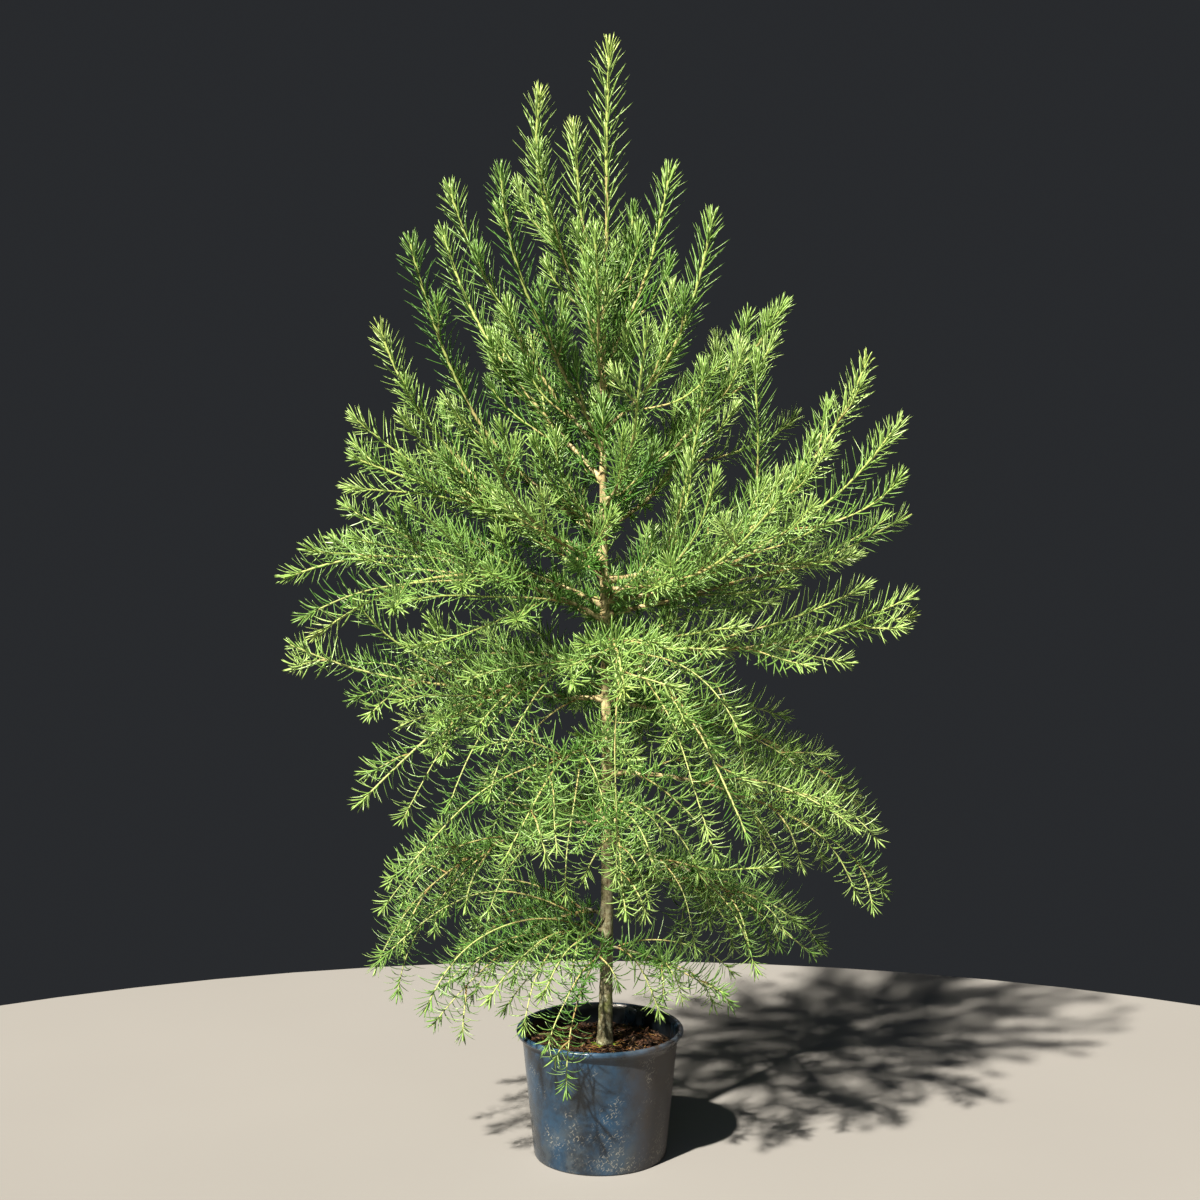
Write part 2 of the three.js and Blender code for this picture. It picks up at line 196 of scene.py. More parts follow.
class Shader:
    """A node material in the making, with one Principled surface."""

    def __init__(self, name: str) -> None:
        """Starts a material.

        Args:
            name: Its name.
        """
        self.material = bpy.data.materials.new(name)
        self.material.use_nodes = True
        self.tree = self.material.node_tree
        self.surface = self.tree.nodes["Principled BSDF"]

    def node(self, kind: str, **inputs: object) -> bpy.types.Node:
        """Adds a node.

        Args:
            kind: The node's type, without the leading ShaderNode.
            inputs: Values or sockets for its inputs, with spaces as underscores.

        Returns:
            The new node.
        """
        made = self.tree.nodes.new("ShaderNode" + kind)
        for name, value in inputs.items():
            self.feed(made.inputs[name.replace("_", " ")], value)
        return made

    def feed(self, socket: Socket, value: object) -> None:
        """Fills an input.

        Args:
            socket: The input.
            value: A socket to link to it, or its own value.
        """
        if isinstance(value, Socket):
            self.tree.links.new(value, socket)
        else:
            socket.default_value = value

    def dress(self, **inputs: object) -> None:
        """Fills inputs of the Principled surface."""
        for name, value in inputs.items():
            self.feed(self.surface.inputs[name.replace("_", " ")], value)

    def place(self, stretch: Sequence[float] = (1.0, 1.0, 1.0), slant: float = 0.0) -> Socket:
        """Reads the object's own coordinates, in metres, for a pattern drawn out along its axes.

        Args:
            stretch: How many times as long the pattern's marks are on each axis.
            slant: How far the marks lean to the right, in degrees.

        Returns:
            The coordinates.
        """
        coordinates = self.node("TexCoord")
        mapping = self.node("Mapping", Vector=coordinates.outputs["Object"], Scale=tuple(stretch))
        mapping.vector_type = "TEXTURE"
        mapping.inputs["Rotation"].default_value = (0.0, math.radians(slant), 0.0)
        return mapping.outputs["Vector"]

    def noise(self, place: Socket, waves: Waves) -> Socket:
        """Returns the height of a noise pattern at coordinates."""
        look = {"Scale": waves.scale, "Detail": waves.detail, "Roughness": waves.rough}
        return self.node("TexNoise", Vector=place, **look).outputs["Fac"]

    def wrapped(self, radius: float) -> Socket:
        """Reads places on a round wall: round it on X, and up on Y.

        Args:
            radius: The wall's radius, in metres.

        Returns:
            The places.
        """
        parts = self.node("SeparateXYZ", Vector=self.node("TexCoord").outputs["Object"])
        ahead = self.maths(Sum.TIMES, parts.outputs["Y"], -1.0)
        around = self.maths(Sum.ANGLE, parts.outputs["X"], ahead)
        flat = self.node("CombineXYZ", X=self.maths(Sum.TIMES, around, radius), Y=parts.outputs["Z"])
        return flat.outputs["Vector"]

    def strokes(self, place: Socket, strokes: Strokes) -> Socket:
        """Scatters strokes over a flat surface.

        Args:
            place: Flat coordinates to read them at.
            strokes: Their number, lean and length.

        Returns:
            The distance to the nearest one, 0 on a stroke's middle.
        """
        turn = (0.0, 0.0, math.radians(-strokes.slant))
        mapping = self.node("Mapping", Vector=place, Rotation=turn, Scale=(1.0, strokes.drawn, 1.0))
        mapping.vector_type = "TEXTURE"
        cells = self.node("TexVoronoi", Vector=mapping.outputs["Vector"], Scale=strokes.scale)
        cells.voronoi_dimensions = "2D"
        return cells.outputs["Distance"]

    def span(self, value: Socket, band: Band) -> Socket:
        """Maps a value smoothly from one range to another, and keeps it there.

        Args:
            value: The value.
            band: The two ranges.

        Returns:
            The mapped value.
        """
        ranges = {"From_Min": band.low, "From_Max": band.high, "To_Min": band.least, "To_Max": band.most}
        made = self.node("MapRange", Value=value, **ranges)
        made.interpolation_type = "SMOOTHSTEP"
        return made.outputs["Result"]

    def cloud(self, place: Socket, waves: Waves, band: Band) -> Socket:
        """Returns the height of a noise pattern, mapped from one range to another."""
        return self.span(self.noise(place, waves), band)

    def maths(self, work: Sum, a: object, b: object) -> Socket:
        """Works out a sum.

        Args:
            work: Which sum.
            a: The first value or socket.
            b: The second one.

        Returns:
            The outcome.
        """
        made = self.node("Math")
        made.operation = work.value
        self.feed(made.inputs[0], a)
        self.feed(made.inputs[1], b)
        return made.outputs[0]

    def mix(self, share: object, a: object, b: object) -> Socket:
        """Mixes two colours.

        Args:
            share: How much of the second there is.
            a: The first colour.
            b: The second one.

        Returns:
            The mixed colour.
        """
        made = self.node("Mix")
        made.data_type = "RGBA"
        sockets = [s for s in made.inputs if s.type == "RGBA"]
        self.feed(made.inputs[0], share)
        self.feed(sockets[0], a)
        self.feed(sockets[1], b)
        return next(s for s in made.outputs if s.type == "RGBA")

    def bump(self, height: Socket, depth: float) -> Socket:
        """Returns a normal for a relief whose full height is the depth, in millimetres."""
        made = self.node("Bump", Height=height, Strength=1.0, Distance=depth * MM)
        return made.outputs["Normal"]


@dataclass(frozen=True)
class Finish:
    """A surface finish under its material's name, which each kind lays on a shader in its own way.

    In each kind a field that ends in _where says over which heights of a pattern its tone comes in.
    """

    name: str

    def material(self) -> bpy.types.Material:
        """Makes the node material.

        Returns:
            The material.
        """
        shader = Shader(self.name)
        self.lay(shader)
        return shader.material

    def lay(self, s: Shader) -> None:
        """Lays the finish on a shader."""
        raise NotImplementedError


@dataclass(frozen=True)
class MouldedPlastic(Finish):
    """Blue-black moulded plastic with blue patches of painted sky reflection, a grey haze of dust, brown dust
    on one side that is partly a painted reflection of the ground, a painted highlight on the lip and pale
    flecks.
    """

    name: str = "moulded_plastic"
    skin: str = "121b25"
    # painted reflection: the blue of the sky, laid on in patches
    sky_sheen: str = "193c58"
    # painted highlight: the pale blue of the lip's top
    lip_highlight: str = "4c6680"
    haze: str = "424c53"
    # brown on the right side: dust, and partly a painted reflection of the ground
    dust_and_ground_sheen: str = "3d3632"
    fleck: str = "b9b4a4"
    lip_height: float = 215.0
    wall_radius: float = 130.0
    lip_highlight_over: Pair = (4.0, 9.0)
    gloss_run: float = 5.0
    sky_sheen_waves: Waves = Waves(8.0, 6.0, 0.7)
    sky_sheen_where: Band = Band(0.36, 0.64)
    dust: Waves = Waves(26.0, 8.0, 0.66)
    dust_drawn: float = 1.8
    dust_slant: float = 30.0
    dusty_where: Band = Band(0.4, 0.72)
    dust_by_height: Band = Band(0.15, 0.0, 0.25, 0.85)
    side_edge_wander: Waves = Waves(30.0, 6.0, 0.62)
    side_edge_drawn: float = 3.0
    side_edge_width: float = 0.07
    dust_and_ground_sheen_where: Band = Band(0.06, 0.14, 0.05, 0.85)
    lip_highlight_waves: Waves = Waves(34.0, 5.0)
    lip_highlight_where: Band = Band(0.35, 0.65, 0.0, 0.4)
    roughness: Band = Band(0.0, 1.0, 0.2, 0.6)
    grain: Waves = Waves(700.0, 3.0)
    grain_depth: float = 0.12
    marks: tuple[Strokes, ...] = (Strokes(195.0, 40.0), Strokes(215.0, -28.0), Strokes(240.0, 76.0))
    mark_edge: Band = Band(0.14, 0.07)
    more_marks_below: Band = Band(0.18, 0.06, 0.0, 0.09)
    scuffs: Waves = Waves(24.0, 5.0)
    scuffed_where: Band = Band(0.52, 0.72)
    mark_strength: float = 0.42

    def lay(self, s: Shader) -> None:
        """Lays the plastic's colours, gloss and grain on a shader.

        Args:
            s: The shader.
        """
        plain = s.place()
        parts = s.node("SeparateXYZ", Vector=plain)
        height = parts.outputs["Z"]
        # Painted reflection: blue patches of sky reflection mixed into the plastic's own colour.
        skin = s.mix(s.cloud(plain, self.sky_sheen_waves, self.sky_sheen_where), srgb(self.skin), srgb(self.sky_sheen))
        leaning = s.place((1.0, 1.0, self.dust_drawn), self.dust_slant)
        dust = s.cloud(leaning, self.dust, self.dusty_where)
        haze = s.maths(Sum.TIMES, dust, s.span(height, self.dust_by_height))
        hazy = s.mix(haze, skin, srgb(self.haze))
        # Brown on the right side: dust, and partly a painted reflection of the ground on that side.
        side_edge_wander = s.noise(s.place((1.0, 1.0, self.side_edge_drawn)), self.side_edge_wander)
        side = s.maths(Sum.ADD, parts.outputs["X"], s.maths(Sum.TIMES, side_edge_wander, self.side_edge_width))
        dust_and_ground_sheen = s.span(side, self.dust_and_ground_sheen_where)
        with_dust_and_ground_sheen = s.mix(dust_and_ground_sheen, hazy, srgb(self.dust_and_ground_sheen))
        flecked = s.mix(self.flecks(s, plain, height), with_dust_and_ground_sheen, srgb(self.fleck))
        # Painted highlight: a patchy pale blue band on the top of the lip, standing in for the sky's
        # reflection.
        lip = s.span(height, Band(*((self.lip_height + rise) * MM for rise in self.lip_highlight_over)))
        lip_highlight_share = s.maths(Sum.TIMES, lip, s.cloud(plain, self.lip_highlight_waves, self.lip_highlight_where))
        s.dress(Base_Color=s.mix(lip_highlight_share, flecked, srgb(self.lip_highlight)))
        turning = Band((self.lip_height - self.gloss_run) * MM, self.lip_height * MM, 1.0, 0.0)
        dull = s.maths(Sum.TIMES, s.maths(Sum.ADD, haze, dust_and_ground_sheen), s.span(height, turning))
        s.dress(Roughness=s.span(dull, self.roughness))
        s.dress(Normal=s.bump(s.noise(plain, self.grain), self.grain_depth))
        s.dress(Specular_IOR_Level=0.55)

    def flecks(self, s: Shader, plain: Socket, height: Socket) -> Socket:
        """Scatters flecks: short marks that lean both ways, thickest lower down.

        Args:
            s: The shader.
            plain: The surface's coordinates.
            height: Their height.

        Returns:
            How strongly the flecks show.
        """
        wall = s.wrapped(self.wall_radius * MM)
        marks = [s.span(s.strokes(wall, strokes), self.mark_edge) for strokes in self.marks]
        either = s.maths(Sum.LARGER, s.maths(Sum.LARGER, marks[0], marks[1]), marks[2])
        lower = s.span(height, self.more_marks_below)
        patchy = s.span(s.maths(Sum.ADD, s.noise(plain, self.scuffs), lower), self.scuffed_where)
        return s.maths(Sum.TIMES, s.maths(Sum.TIMES, either, patchy), self.mark_strength)


@dataclass(frozen=True)
class InsideShadePlastic(Finish):
    """The glossy plastic inside the pot, painted darker than the outside as the shade inside the pot, with
    faint upright streaks.
    """

    name: str = "clean_plastic"
    # painted shade: a darker skin than the outside's
    skin: str = "0d1217"
    streak: str = "1b2f40"
    streaks: Waves = Waves(26.0, 4.0)
    streak_drawn: float = 9.0
    streaked_where: Band = Band(0.52, 0.68)
    roughness: Band = Band(0.0, 1.0, 0.3, 0.16)
    grain: Waves = Waves(700.0, 3.0)
    grain_depth: float = 0.1

    def lay(self, s: Shader) -> None:
        """Lays the plastic's colours, gloss and grain on a shader.

        Args:
            s: The shader.
        """
        streaks = s.cloud(s.place((1.0, 1.0, self.streak_drawn)), self.streaks, self.streaked_where)
        s.dress(Base_Color=s.mix(streaks, srgb(self.skin), srgb(self.streak)))
        s.dress(Roughness=s.span(streaks, self.roughness), Specular_IOR_Level=0.6)
        s.dress(Normal=s.bump(s.noise(s.place(), self.grain), self.grain_depth))


@dataclass(frozen=True)
class Peat(Finish):
    """Dark fibrous compost, mottled from near black to a warm brown."""

    name: str = "peat"
    dark: str = "17100b"
    warm: str = "3b281b"
    mottle: Waves = Waves(120.0, 8.0, 0.7)
    warm_where: Band = Band(0.4, 0.68)
    roughness: Band = Band(0.0, 1.0, 0.98, 0.8)
    crumbs: Waves = Waves(420.0, 6.0, 0.7)
    crumb_depth: float = 1.4

    def lay(self, s: Shader) -> None:
        """Lays the compost's colours and crumbs on a shader.

        Args:
            s: The shader.
        """
        plain = s.place()
        mottle = s.cloud(plain, self.mottle, self.warm_where)
        s.dress(Base_Color=s.mix(mottle, srgb(self.dark), srgb(self.warm)))
        s.dress(Roughness=s.span(mottle, self.roughness))
        s.dress(Normal=s.bump(s.noise(plain, self.crumbs), self.crumb_depth))
        s.dress(Specular_IOR_Level=0.2)


@dataclass(frozen=True)
class BarkChip(Finish):
    """One tone of shredded bark, with fibres along it."""

    dark: str
    pale: str
    fibres: Waves = Waves(480.0, 6.0, 0.7)
    fibre_drawn: float = 2.9
    pale_where: Band = Band(0.38, 0.66)
    fibre_depth: float = 0.4

    def lay(self, s: Shader) -> None:
        """Lays the chip's fibres on a shader.

        Args:
            s: The shader.
        """
        fibre = s.cloud(s.place((1.0, self.fibre_drawn, 1.0)), self.fibres, self.pale_where)
        s.dress(Base_Color=s.mix(fibre, srgb(self.dark), srgb(self.pale)))
        s.dress(Roughness=0.86, Specular_IOR_Level=0.25)
        s.dress(Normal=s.bump(fibre, self.fibre_depth))


@dataclass(frozen=True)
class LarchBark(Finish):
    """Bark that goes from grey-olive with lichen at the foot to a warm straw brown above."""

    name: str = "larch_bark"
    fissure: str = "463a28"
    olive: str = "77745c"
    tawny: str = "a6976c"
    straw: str = "d0c294"
    lichen: str = "a9ad93"
    algae: str = "6d7a3c"
    olive_below: float = 380.0
    tawny_above: float = 760.0
    wander: Waves = Waves(14.0, 3.0)
    wander_height: float = 0.22
    streaks: Waves = Waves(70.0, 4.0)
    straw_where: Band = Band(0.4, 0.62)
    plates: Waves = Waves(260.0, 7.0, 0.66)
    plate_drawn: float = 3.6
    plate_depth: float = 0.9
    fissured_where: Band = Band(0.52, 0.34)
    low: Band = Band(0.62, 0.24)
    crust: Waves = Waves(88.0, 5.0, 0.6)
    crusted_where: Band = Band(0.52, 0.6)
    crust_strength: float = 0.8
    film: Waves = Waves(31.0, 4.0)
    filmed_where: Band = Band(0.48, 0.62)
    film_strength: float = 0.55
    roughness: Band = Band(0.3, 0.7, 0.95, 0.72)

    def lay(self, s: Shader) -> None:
        """Lays the bark's colours, its lichen and its plates on a shader.

        Args:
            s: The shader.
        """
        plain = s.place()
        grained = s.place((1.0, 1.0, self.plate_drawn))
        height = s.node("SeparateXYZ", Vector=plain).outputs["Z"]
        wander = s.maths(Sum.TIMES, s.noise(plain, self.wander), self.wander_height)
        between = Band(*(z * MM + self.wander_height / 2 for z in (self.olive_below, self.tawny_above)))
        aged = s.span(s.maths(Sum.ADD, height, wander), between)
        warm = s.mix(s.cloud(plain, self.streaks, self.straw_where), srgb(self.tawny), srgb(self.straw))
        skin = s.mix(aged, srgb(self.olive), warm)
        plates = s.noise(grained, self.plates)
        furrowed = s.mix(s.span(plates, self.fissured_where), skin, srgb(self.fissure))
        low = s.span(height, self.low)
        crust = s.maths(Sum.TIMES, s.cloud(plain, self.crust, self.crusted_where), low)
        crusted = s.mix(s.maths(Sum.TIMES, crust, self.crust_strength), furrowed, srgb(self.lichen))
        film = s.maths(Sum.TIMES, s.cloud(plain, self.film, self.filmed_where), low)
        s.dress(Base_Color=s.mix(s.maths(Sum.TIMES, film, self.film_strength), crusted, srgb(self.algae)))
        s.dress(Roughness=s.span(plates, self.roughness))
        s.dress(Normal=s.bump(plates, self.plate_depth))
        s.dress(Specular_IOR_Level=0.3)


@dataclass(frozen=True)
class LivingTissue(Finish):
    """The even colour of needles, twigs or moss: one plain tone, dealt out by spray."""

    tone: str
    roughness: float = 0.5
    specular: float = 0.35

    def lay(self, s: Shader) -> None:
        """Lays the tone on the surface's own sockets."""
        s.dress(Base_Color=srgb(self.tone), Roughness=self.roughness)
        s.dress(Specular_IOR_Level=self.specular)


class NeedleTone(Enum):
    """Tones of a needle, from this season's soft tips to the shaded heart of the crown."""

    TIP = LivingTissue("needle_tip", "a7c167", roughness=0.38, specular=0.85)
    FRESH = LivingTissue("needle_fresh", "9ab969", roughness=0.38, specular=0.85)
    SPRING = LivingTissue("needle_spring", "8aae5a", roughness=0.38, specular=0.85)
    LEAF = LivingTissue("needle_leaf", "70994a", roughness=0.38, specular=0.85)
    DEEP = LivingTissue("needle_deep", "4b7a2f", roughness=0.44, specular=0.65)
    SHADE = LivingTissue("needle_shade", "325d1d", roughness=0.44, specular=0.65)


class TwigTone(Enum):
    """Tones of a twig's skin, from old wood to this season's growth."""

    TAWNY = LivingTissue("twig_tawny", "8e7c50", roughness=0.7, specular=0.25)
    STRAW = LivingTissue("twig_straw", "aba36c", roughness=0.55)
    GREEN = LivingTissue("twig_green", "a2b065")
    PALE = LivingTissue("twig_pale", "a4ad6e", roughness=0.55)


class ChipTone(Enum):
    """Tones of the bark chips on the compost."""

    BLACK = BarkChip("chip_black", dark="15100c", pale="2c2019")
    BROWN = BarkChip("chip_brown", dark="2a1c14", pale="4d372a")
    RUST = BarkChip("chip_rust", dark="3b281c", pale="6b4d3b")
    TAN = BarkChip("chip_tan", dark="5e4735", pale="9d8366")


class LitterTone(Enum):
    """Tones of what lies on the compost beside the chips."""

    MOSS = LivingTissue("moss_green", "5d7a26", roughness=0.9, specular=0.15)
    STRAW = LivingTissue("shed_straw", "a8834a", roughness=0.8, specular=0.2)
    RUSSET = LivingTissue("shed_russet", "7d4f27", roughness=0.8, specular=0.2)


@dataclass(frozen=True)
class StudioFloor(Finish):
    """A plain pale floor."""

    name: str = "studio_floor"
    pale: str = "7d7d7d"
    paler: str = "838383"
    shade: Waves = Waves(1.3, 2.0)

    def lay(self, s: Shader) -> None:
        """Lays the floor's faint unevenness on a shader."""
        s.dress(Base_Color=s.mix(s.noise(s.place(), self.shade), srgb(self.pale), srgb(self.paler)))
        s.dress(Roughness=0.9, Specular_IOR_Level=0.2)


# Meshes


def circles(radii: Array, sides: int) -> tuple[Array, Array]:
    """Returns x and y of points round level circles, by circle and by point."""
    angles = full_turn(sides)
    return radii[:, None] * np.cos(angles), radii[:, None] * np.sin(angles)


def put(name: str, data: bpy.types.ID) -> bpy.types.Object:
    """Puts a new object in the scene.

    Args:
        name: Its name.
        data: Its mesh, light or camera.

    Returns:
        The object.
    """
    thing = bpy.data.objects.new(name, data)
    bpy.context.scene.collection.objects.link(thing)
    return thing


@dataclass
class Sketch:
    """Corner points and faces of a mesh in the making."""

    points: list[Array] = field(default_factory=list)
    faces: dict[int, list[Array]] = field(default_factory=dict)
    slots: dict[int, list[Array]] = field(default_factory=dict)
    count: int = 0

    def add(self, points: Array, faces: Sequence[Array], slots: Sequence[Array] = ()) -> None:
        """Adds points, and faces on them.

        Args:
            points: Places in millimetres, one a row.
            faces: Arrays of corner numbers, each with one number of corners a face.
            slots: For each of those arrays, its faces' material slots, or nothing for the first slot.
        """
        for i, array in enumerate(faces):
            chosen = slots[i] if slots else np.zeros(len(array), dtype=int)
            self.faces.setdefault(array.shape[1], []).append(array + self.count)
            self.slots.setdefault(array.shape[1], []).append(chosen)
        self.points.append(points)
        self.count += len(points)

    def add_tube(self, rings: Array, ends: Array, slots: Sequence[Array] = ()) -> None:
        """Adds a tube, closed at its far end or at both.

        Args:
            rings: Places in millimetres, by ring and by point of the ring.
            ends: Middle of the far cap, or of the near cap and the far one, one a row.
            slots: Material slots of the walls' faces and of the caps', or nothing for the first slot.
        """
        faces = closed_tube(rings.shape[0], rings.shape[1], len(ends))
        self.add(np.concatenate([rings.reshape(-1, 3), ends]), faces, slots)

    def add_copies(self, points: Array, faces: Sequence[Array], slots: Array) -> None:
        """Adds many bodies with the same faces, each on points of its own.

        Args:
            points: Places in millimetres, by body and by point of the body.
            faces: Arrays of corner numbers within one body.
            slots: The material slot of each body.
        """
        numbers = points.shape[1] * np.arange(len(points))[:, None, None]
        moved = [(array[None] + numbers).reshape(-1, array.shape[1]) for array in faces]
        self.add(points.reshape(-1, 3), moved, [np.repeat(slots, len(array)) for array in faces])

    def build(self, name: str, finishes: Sequence[Finish]) -> bpy.types.Object:
        """Makes the mesh and puts it in the scene.

        Args:
            name: The piece's name.
            finishes: What dresses each material slot, in order.

        Returns:
            The new object, shaded smooth.
        """
        mesh = bpy.data.meshes.new(name)
        points = np.concatenate(self.points) * MM
        corners = [np.concatenate(self.faces[n]) for n in sorted(self.faces)]
        sizes = np.concatenate([np.full(len(a), a.shape[1]) for a in corners])
        mesh.vertices.add(len(points))
        mesh.vertices.foreach_set("co", points.astype(np.float32).ravel())
        mesh.loops.add(int(sizes.sum()))
        order = np.concatenate([a.ravel() for a in corners])
        mesh.loops.foreach_set("vertex_index", order.astype(np.int32))
        mesh.polygons.add(len(sizes))
        starts = np.cumsum(sizes) - sizes
        mesh.polygons.foreach_set("loop_start", starts.astype(np.int32))
        slots = np.concatenate([np.concatenate(self.slots[n]) for n in sorted(self.slots)])
        mesh.polygons.foreach_set("material_index", slots.astype(np.int32))
        mesh.polygons.foreach_set("use_smooth", np.ones(len(sizes), dtype=bool))
        mesh.update(calc_edges=True)
        mesh.validate()
        for finish in finishes:
            mesh.materials.append(FINISHES.of(finish))
        return put(name, mesh)


@dataclass
class FinishBook:
    """The materials made so far, so that pieces of one finish share one."""

    made: dict[str, bpy.types.Material] = field(default_factory=dict)

    def of(self, finish: Finish) -> bpy.types.Material:
        """Looks a finish up.

        Args:
            finish: The finish.

        Returns:
            Its material, made at its first use.
        """
        if finish.name not in self.made:
            self.made[finish.name] = finish.material()
        return self.made[finish.name]


FINISHES = FinishBook()


def settle(piece: bpy.types.Object, replaced: Sequence[str] = ()) -> None:
    """Ties a piece to the part and reports it.

    Args:
        piece: The piece.
        replaced: The CAD nodes that it stands for.
    """
    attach(piece, ROOT_BODY)
    if replaced:
        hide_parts(*replaced)
    triangles = len(piece.data.loops) - 2 * len(piece.data.polygons)
    LOG.info("%s: %d triangles", piece.name, triangles)


def tube(centres: Array, heading: Array, radii: Array, sides: int) -> Array:
    """Makes the rings of a tube.

    Args:
        centres: The middle of each ring.
        heading: The tube's direction at each ring.
        radii: The radius of each ring, or of each point of each ring.
        sides: Points to a ring.

    Returns:
        The points, by ring and by point of the ring, counter-clockwise about the heading.
    """
    across, over = across_and_over(heading)
    outward = turned(across[:, None, :], over[:, None, :], full_turn(sides))
    return centres[:, None, :] + outward * radii.reshape(len(centres), -1, 1)


def tube_faces(rings: int, sides: int) -> Array:
    """Joins rings that follow each other.

    Args:
        rings: How many rings.
        sides: Points to a ring.

    Returns:
        The four-cornered faces between them.
    """
    ring, side = np.meshgrid(np.arange(rings - 1), np.arange(sides), indexing="ij")
    a = ring * sides + side
    b = ring * sides + (side + 1) % sides
    return np.stack([a, b, b + sides, a + sides], axis=-1).reshape(-1, 4)


def cap_faces(first: int, sides: int, middle: int, forward: bool) -> Array:
    """Joins a ring to a middle point.

    Args:
        first: Number of the ring's first point.
        sides: Points to the ring.
        middle: Number of the middle point.
        forward: True where the cap looks along the heading.

    Returns:
        The three-cornered faces between them.
    """
    a = first + np.arange(sides)
    b = first + (np.arange(sides) + 1) % sides
    pair = (a, b) if forward else (b, a)
    return np.stack([*pair, np.full(sides, middle)], axis=-1)


def closed_tube(rings: int, sides: int, ends: int) -> list[Array]:
    """Joins rings, and closes them to middle points that are numbered after them.

    Args:
        rings: How many rings.
        sides: Points to a ring.
        ends: 1 where only the far end is closed, and 2 where both are, the near one first.

    Returns:
        The faces of the walls, and those of the caps.
    """
    last = rings * sides
    caps = [cap_faces(0, sides, last, False)] if ends == 2 else []
    caps.append(cap_faces(last - sides, sides, last + ends - 1, True))
    return [tube_faces(rings, sides), np.concatenate(caps)]


# The rule of growth


@dataclass(frozen=True)
class Blend:
    """Sizes that can be mixed with those of another of their kind."""

    def towards(self, other: Self, share: float) -> Self:
        """Returns sizes that are a share of the way to the other's."""
        names = [size.name for size in fields(self)]
        return type(self)(*(lerp(getattr(self, name), getattr(other, name), share) for name in names))


@dataclass
class Draw:
    """Numbers from 0 to 1 in an order that each seed fixes, as in the part's source."""

    seed: int
    stride: int = 7919
    first: int = 17
    factor: int = 1664525
    step: int = 1013904223
    span: int = 4294967296

    def __post_init__(self) -> None:
        """Sets the first state."""
        self.state = self.seed * self.stride + self.first

    def __call__(self) -> float:
        """Returns the next number."""
        self.state = (self.state * self.factor + self.step) % self.span
        return self.state / self.span

    def between(self, least: float, most: float) -> float:
        """Returns the next number, spread from least to most."""
        return lerp(least, most, self())


@dataclass(frozen=True)
class BoughRow:
    """One bough: where it leaves the trunk, and where its tip is from there.

    Attributes:
        z: Height where it leaves the trunk.
        turn: Bearing from +X towards +Y, in degrees.
        reach: Level distance to its tip.
        rise: How far its tip is above its root.
        bow: How far its middle sags under a straight line.
        twigs: Side shoots that the part's source gives it.
        wood: Length of its bare limb, where it has one.
    """

    z: float
    turn: float
    reach: float
    rise: float
    bow: float
    twigs: int
    wood: float = 0.0


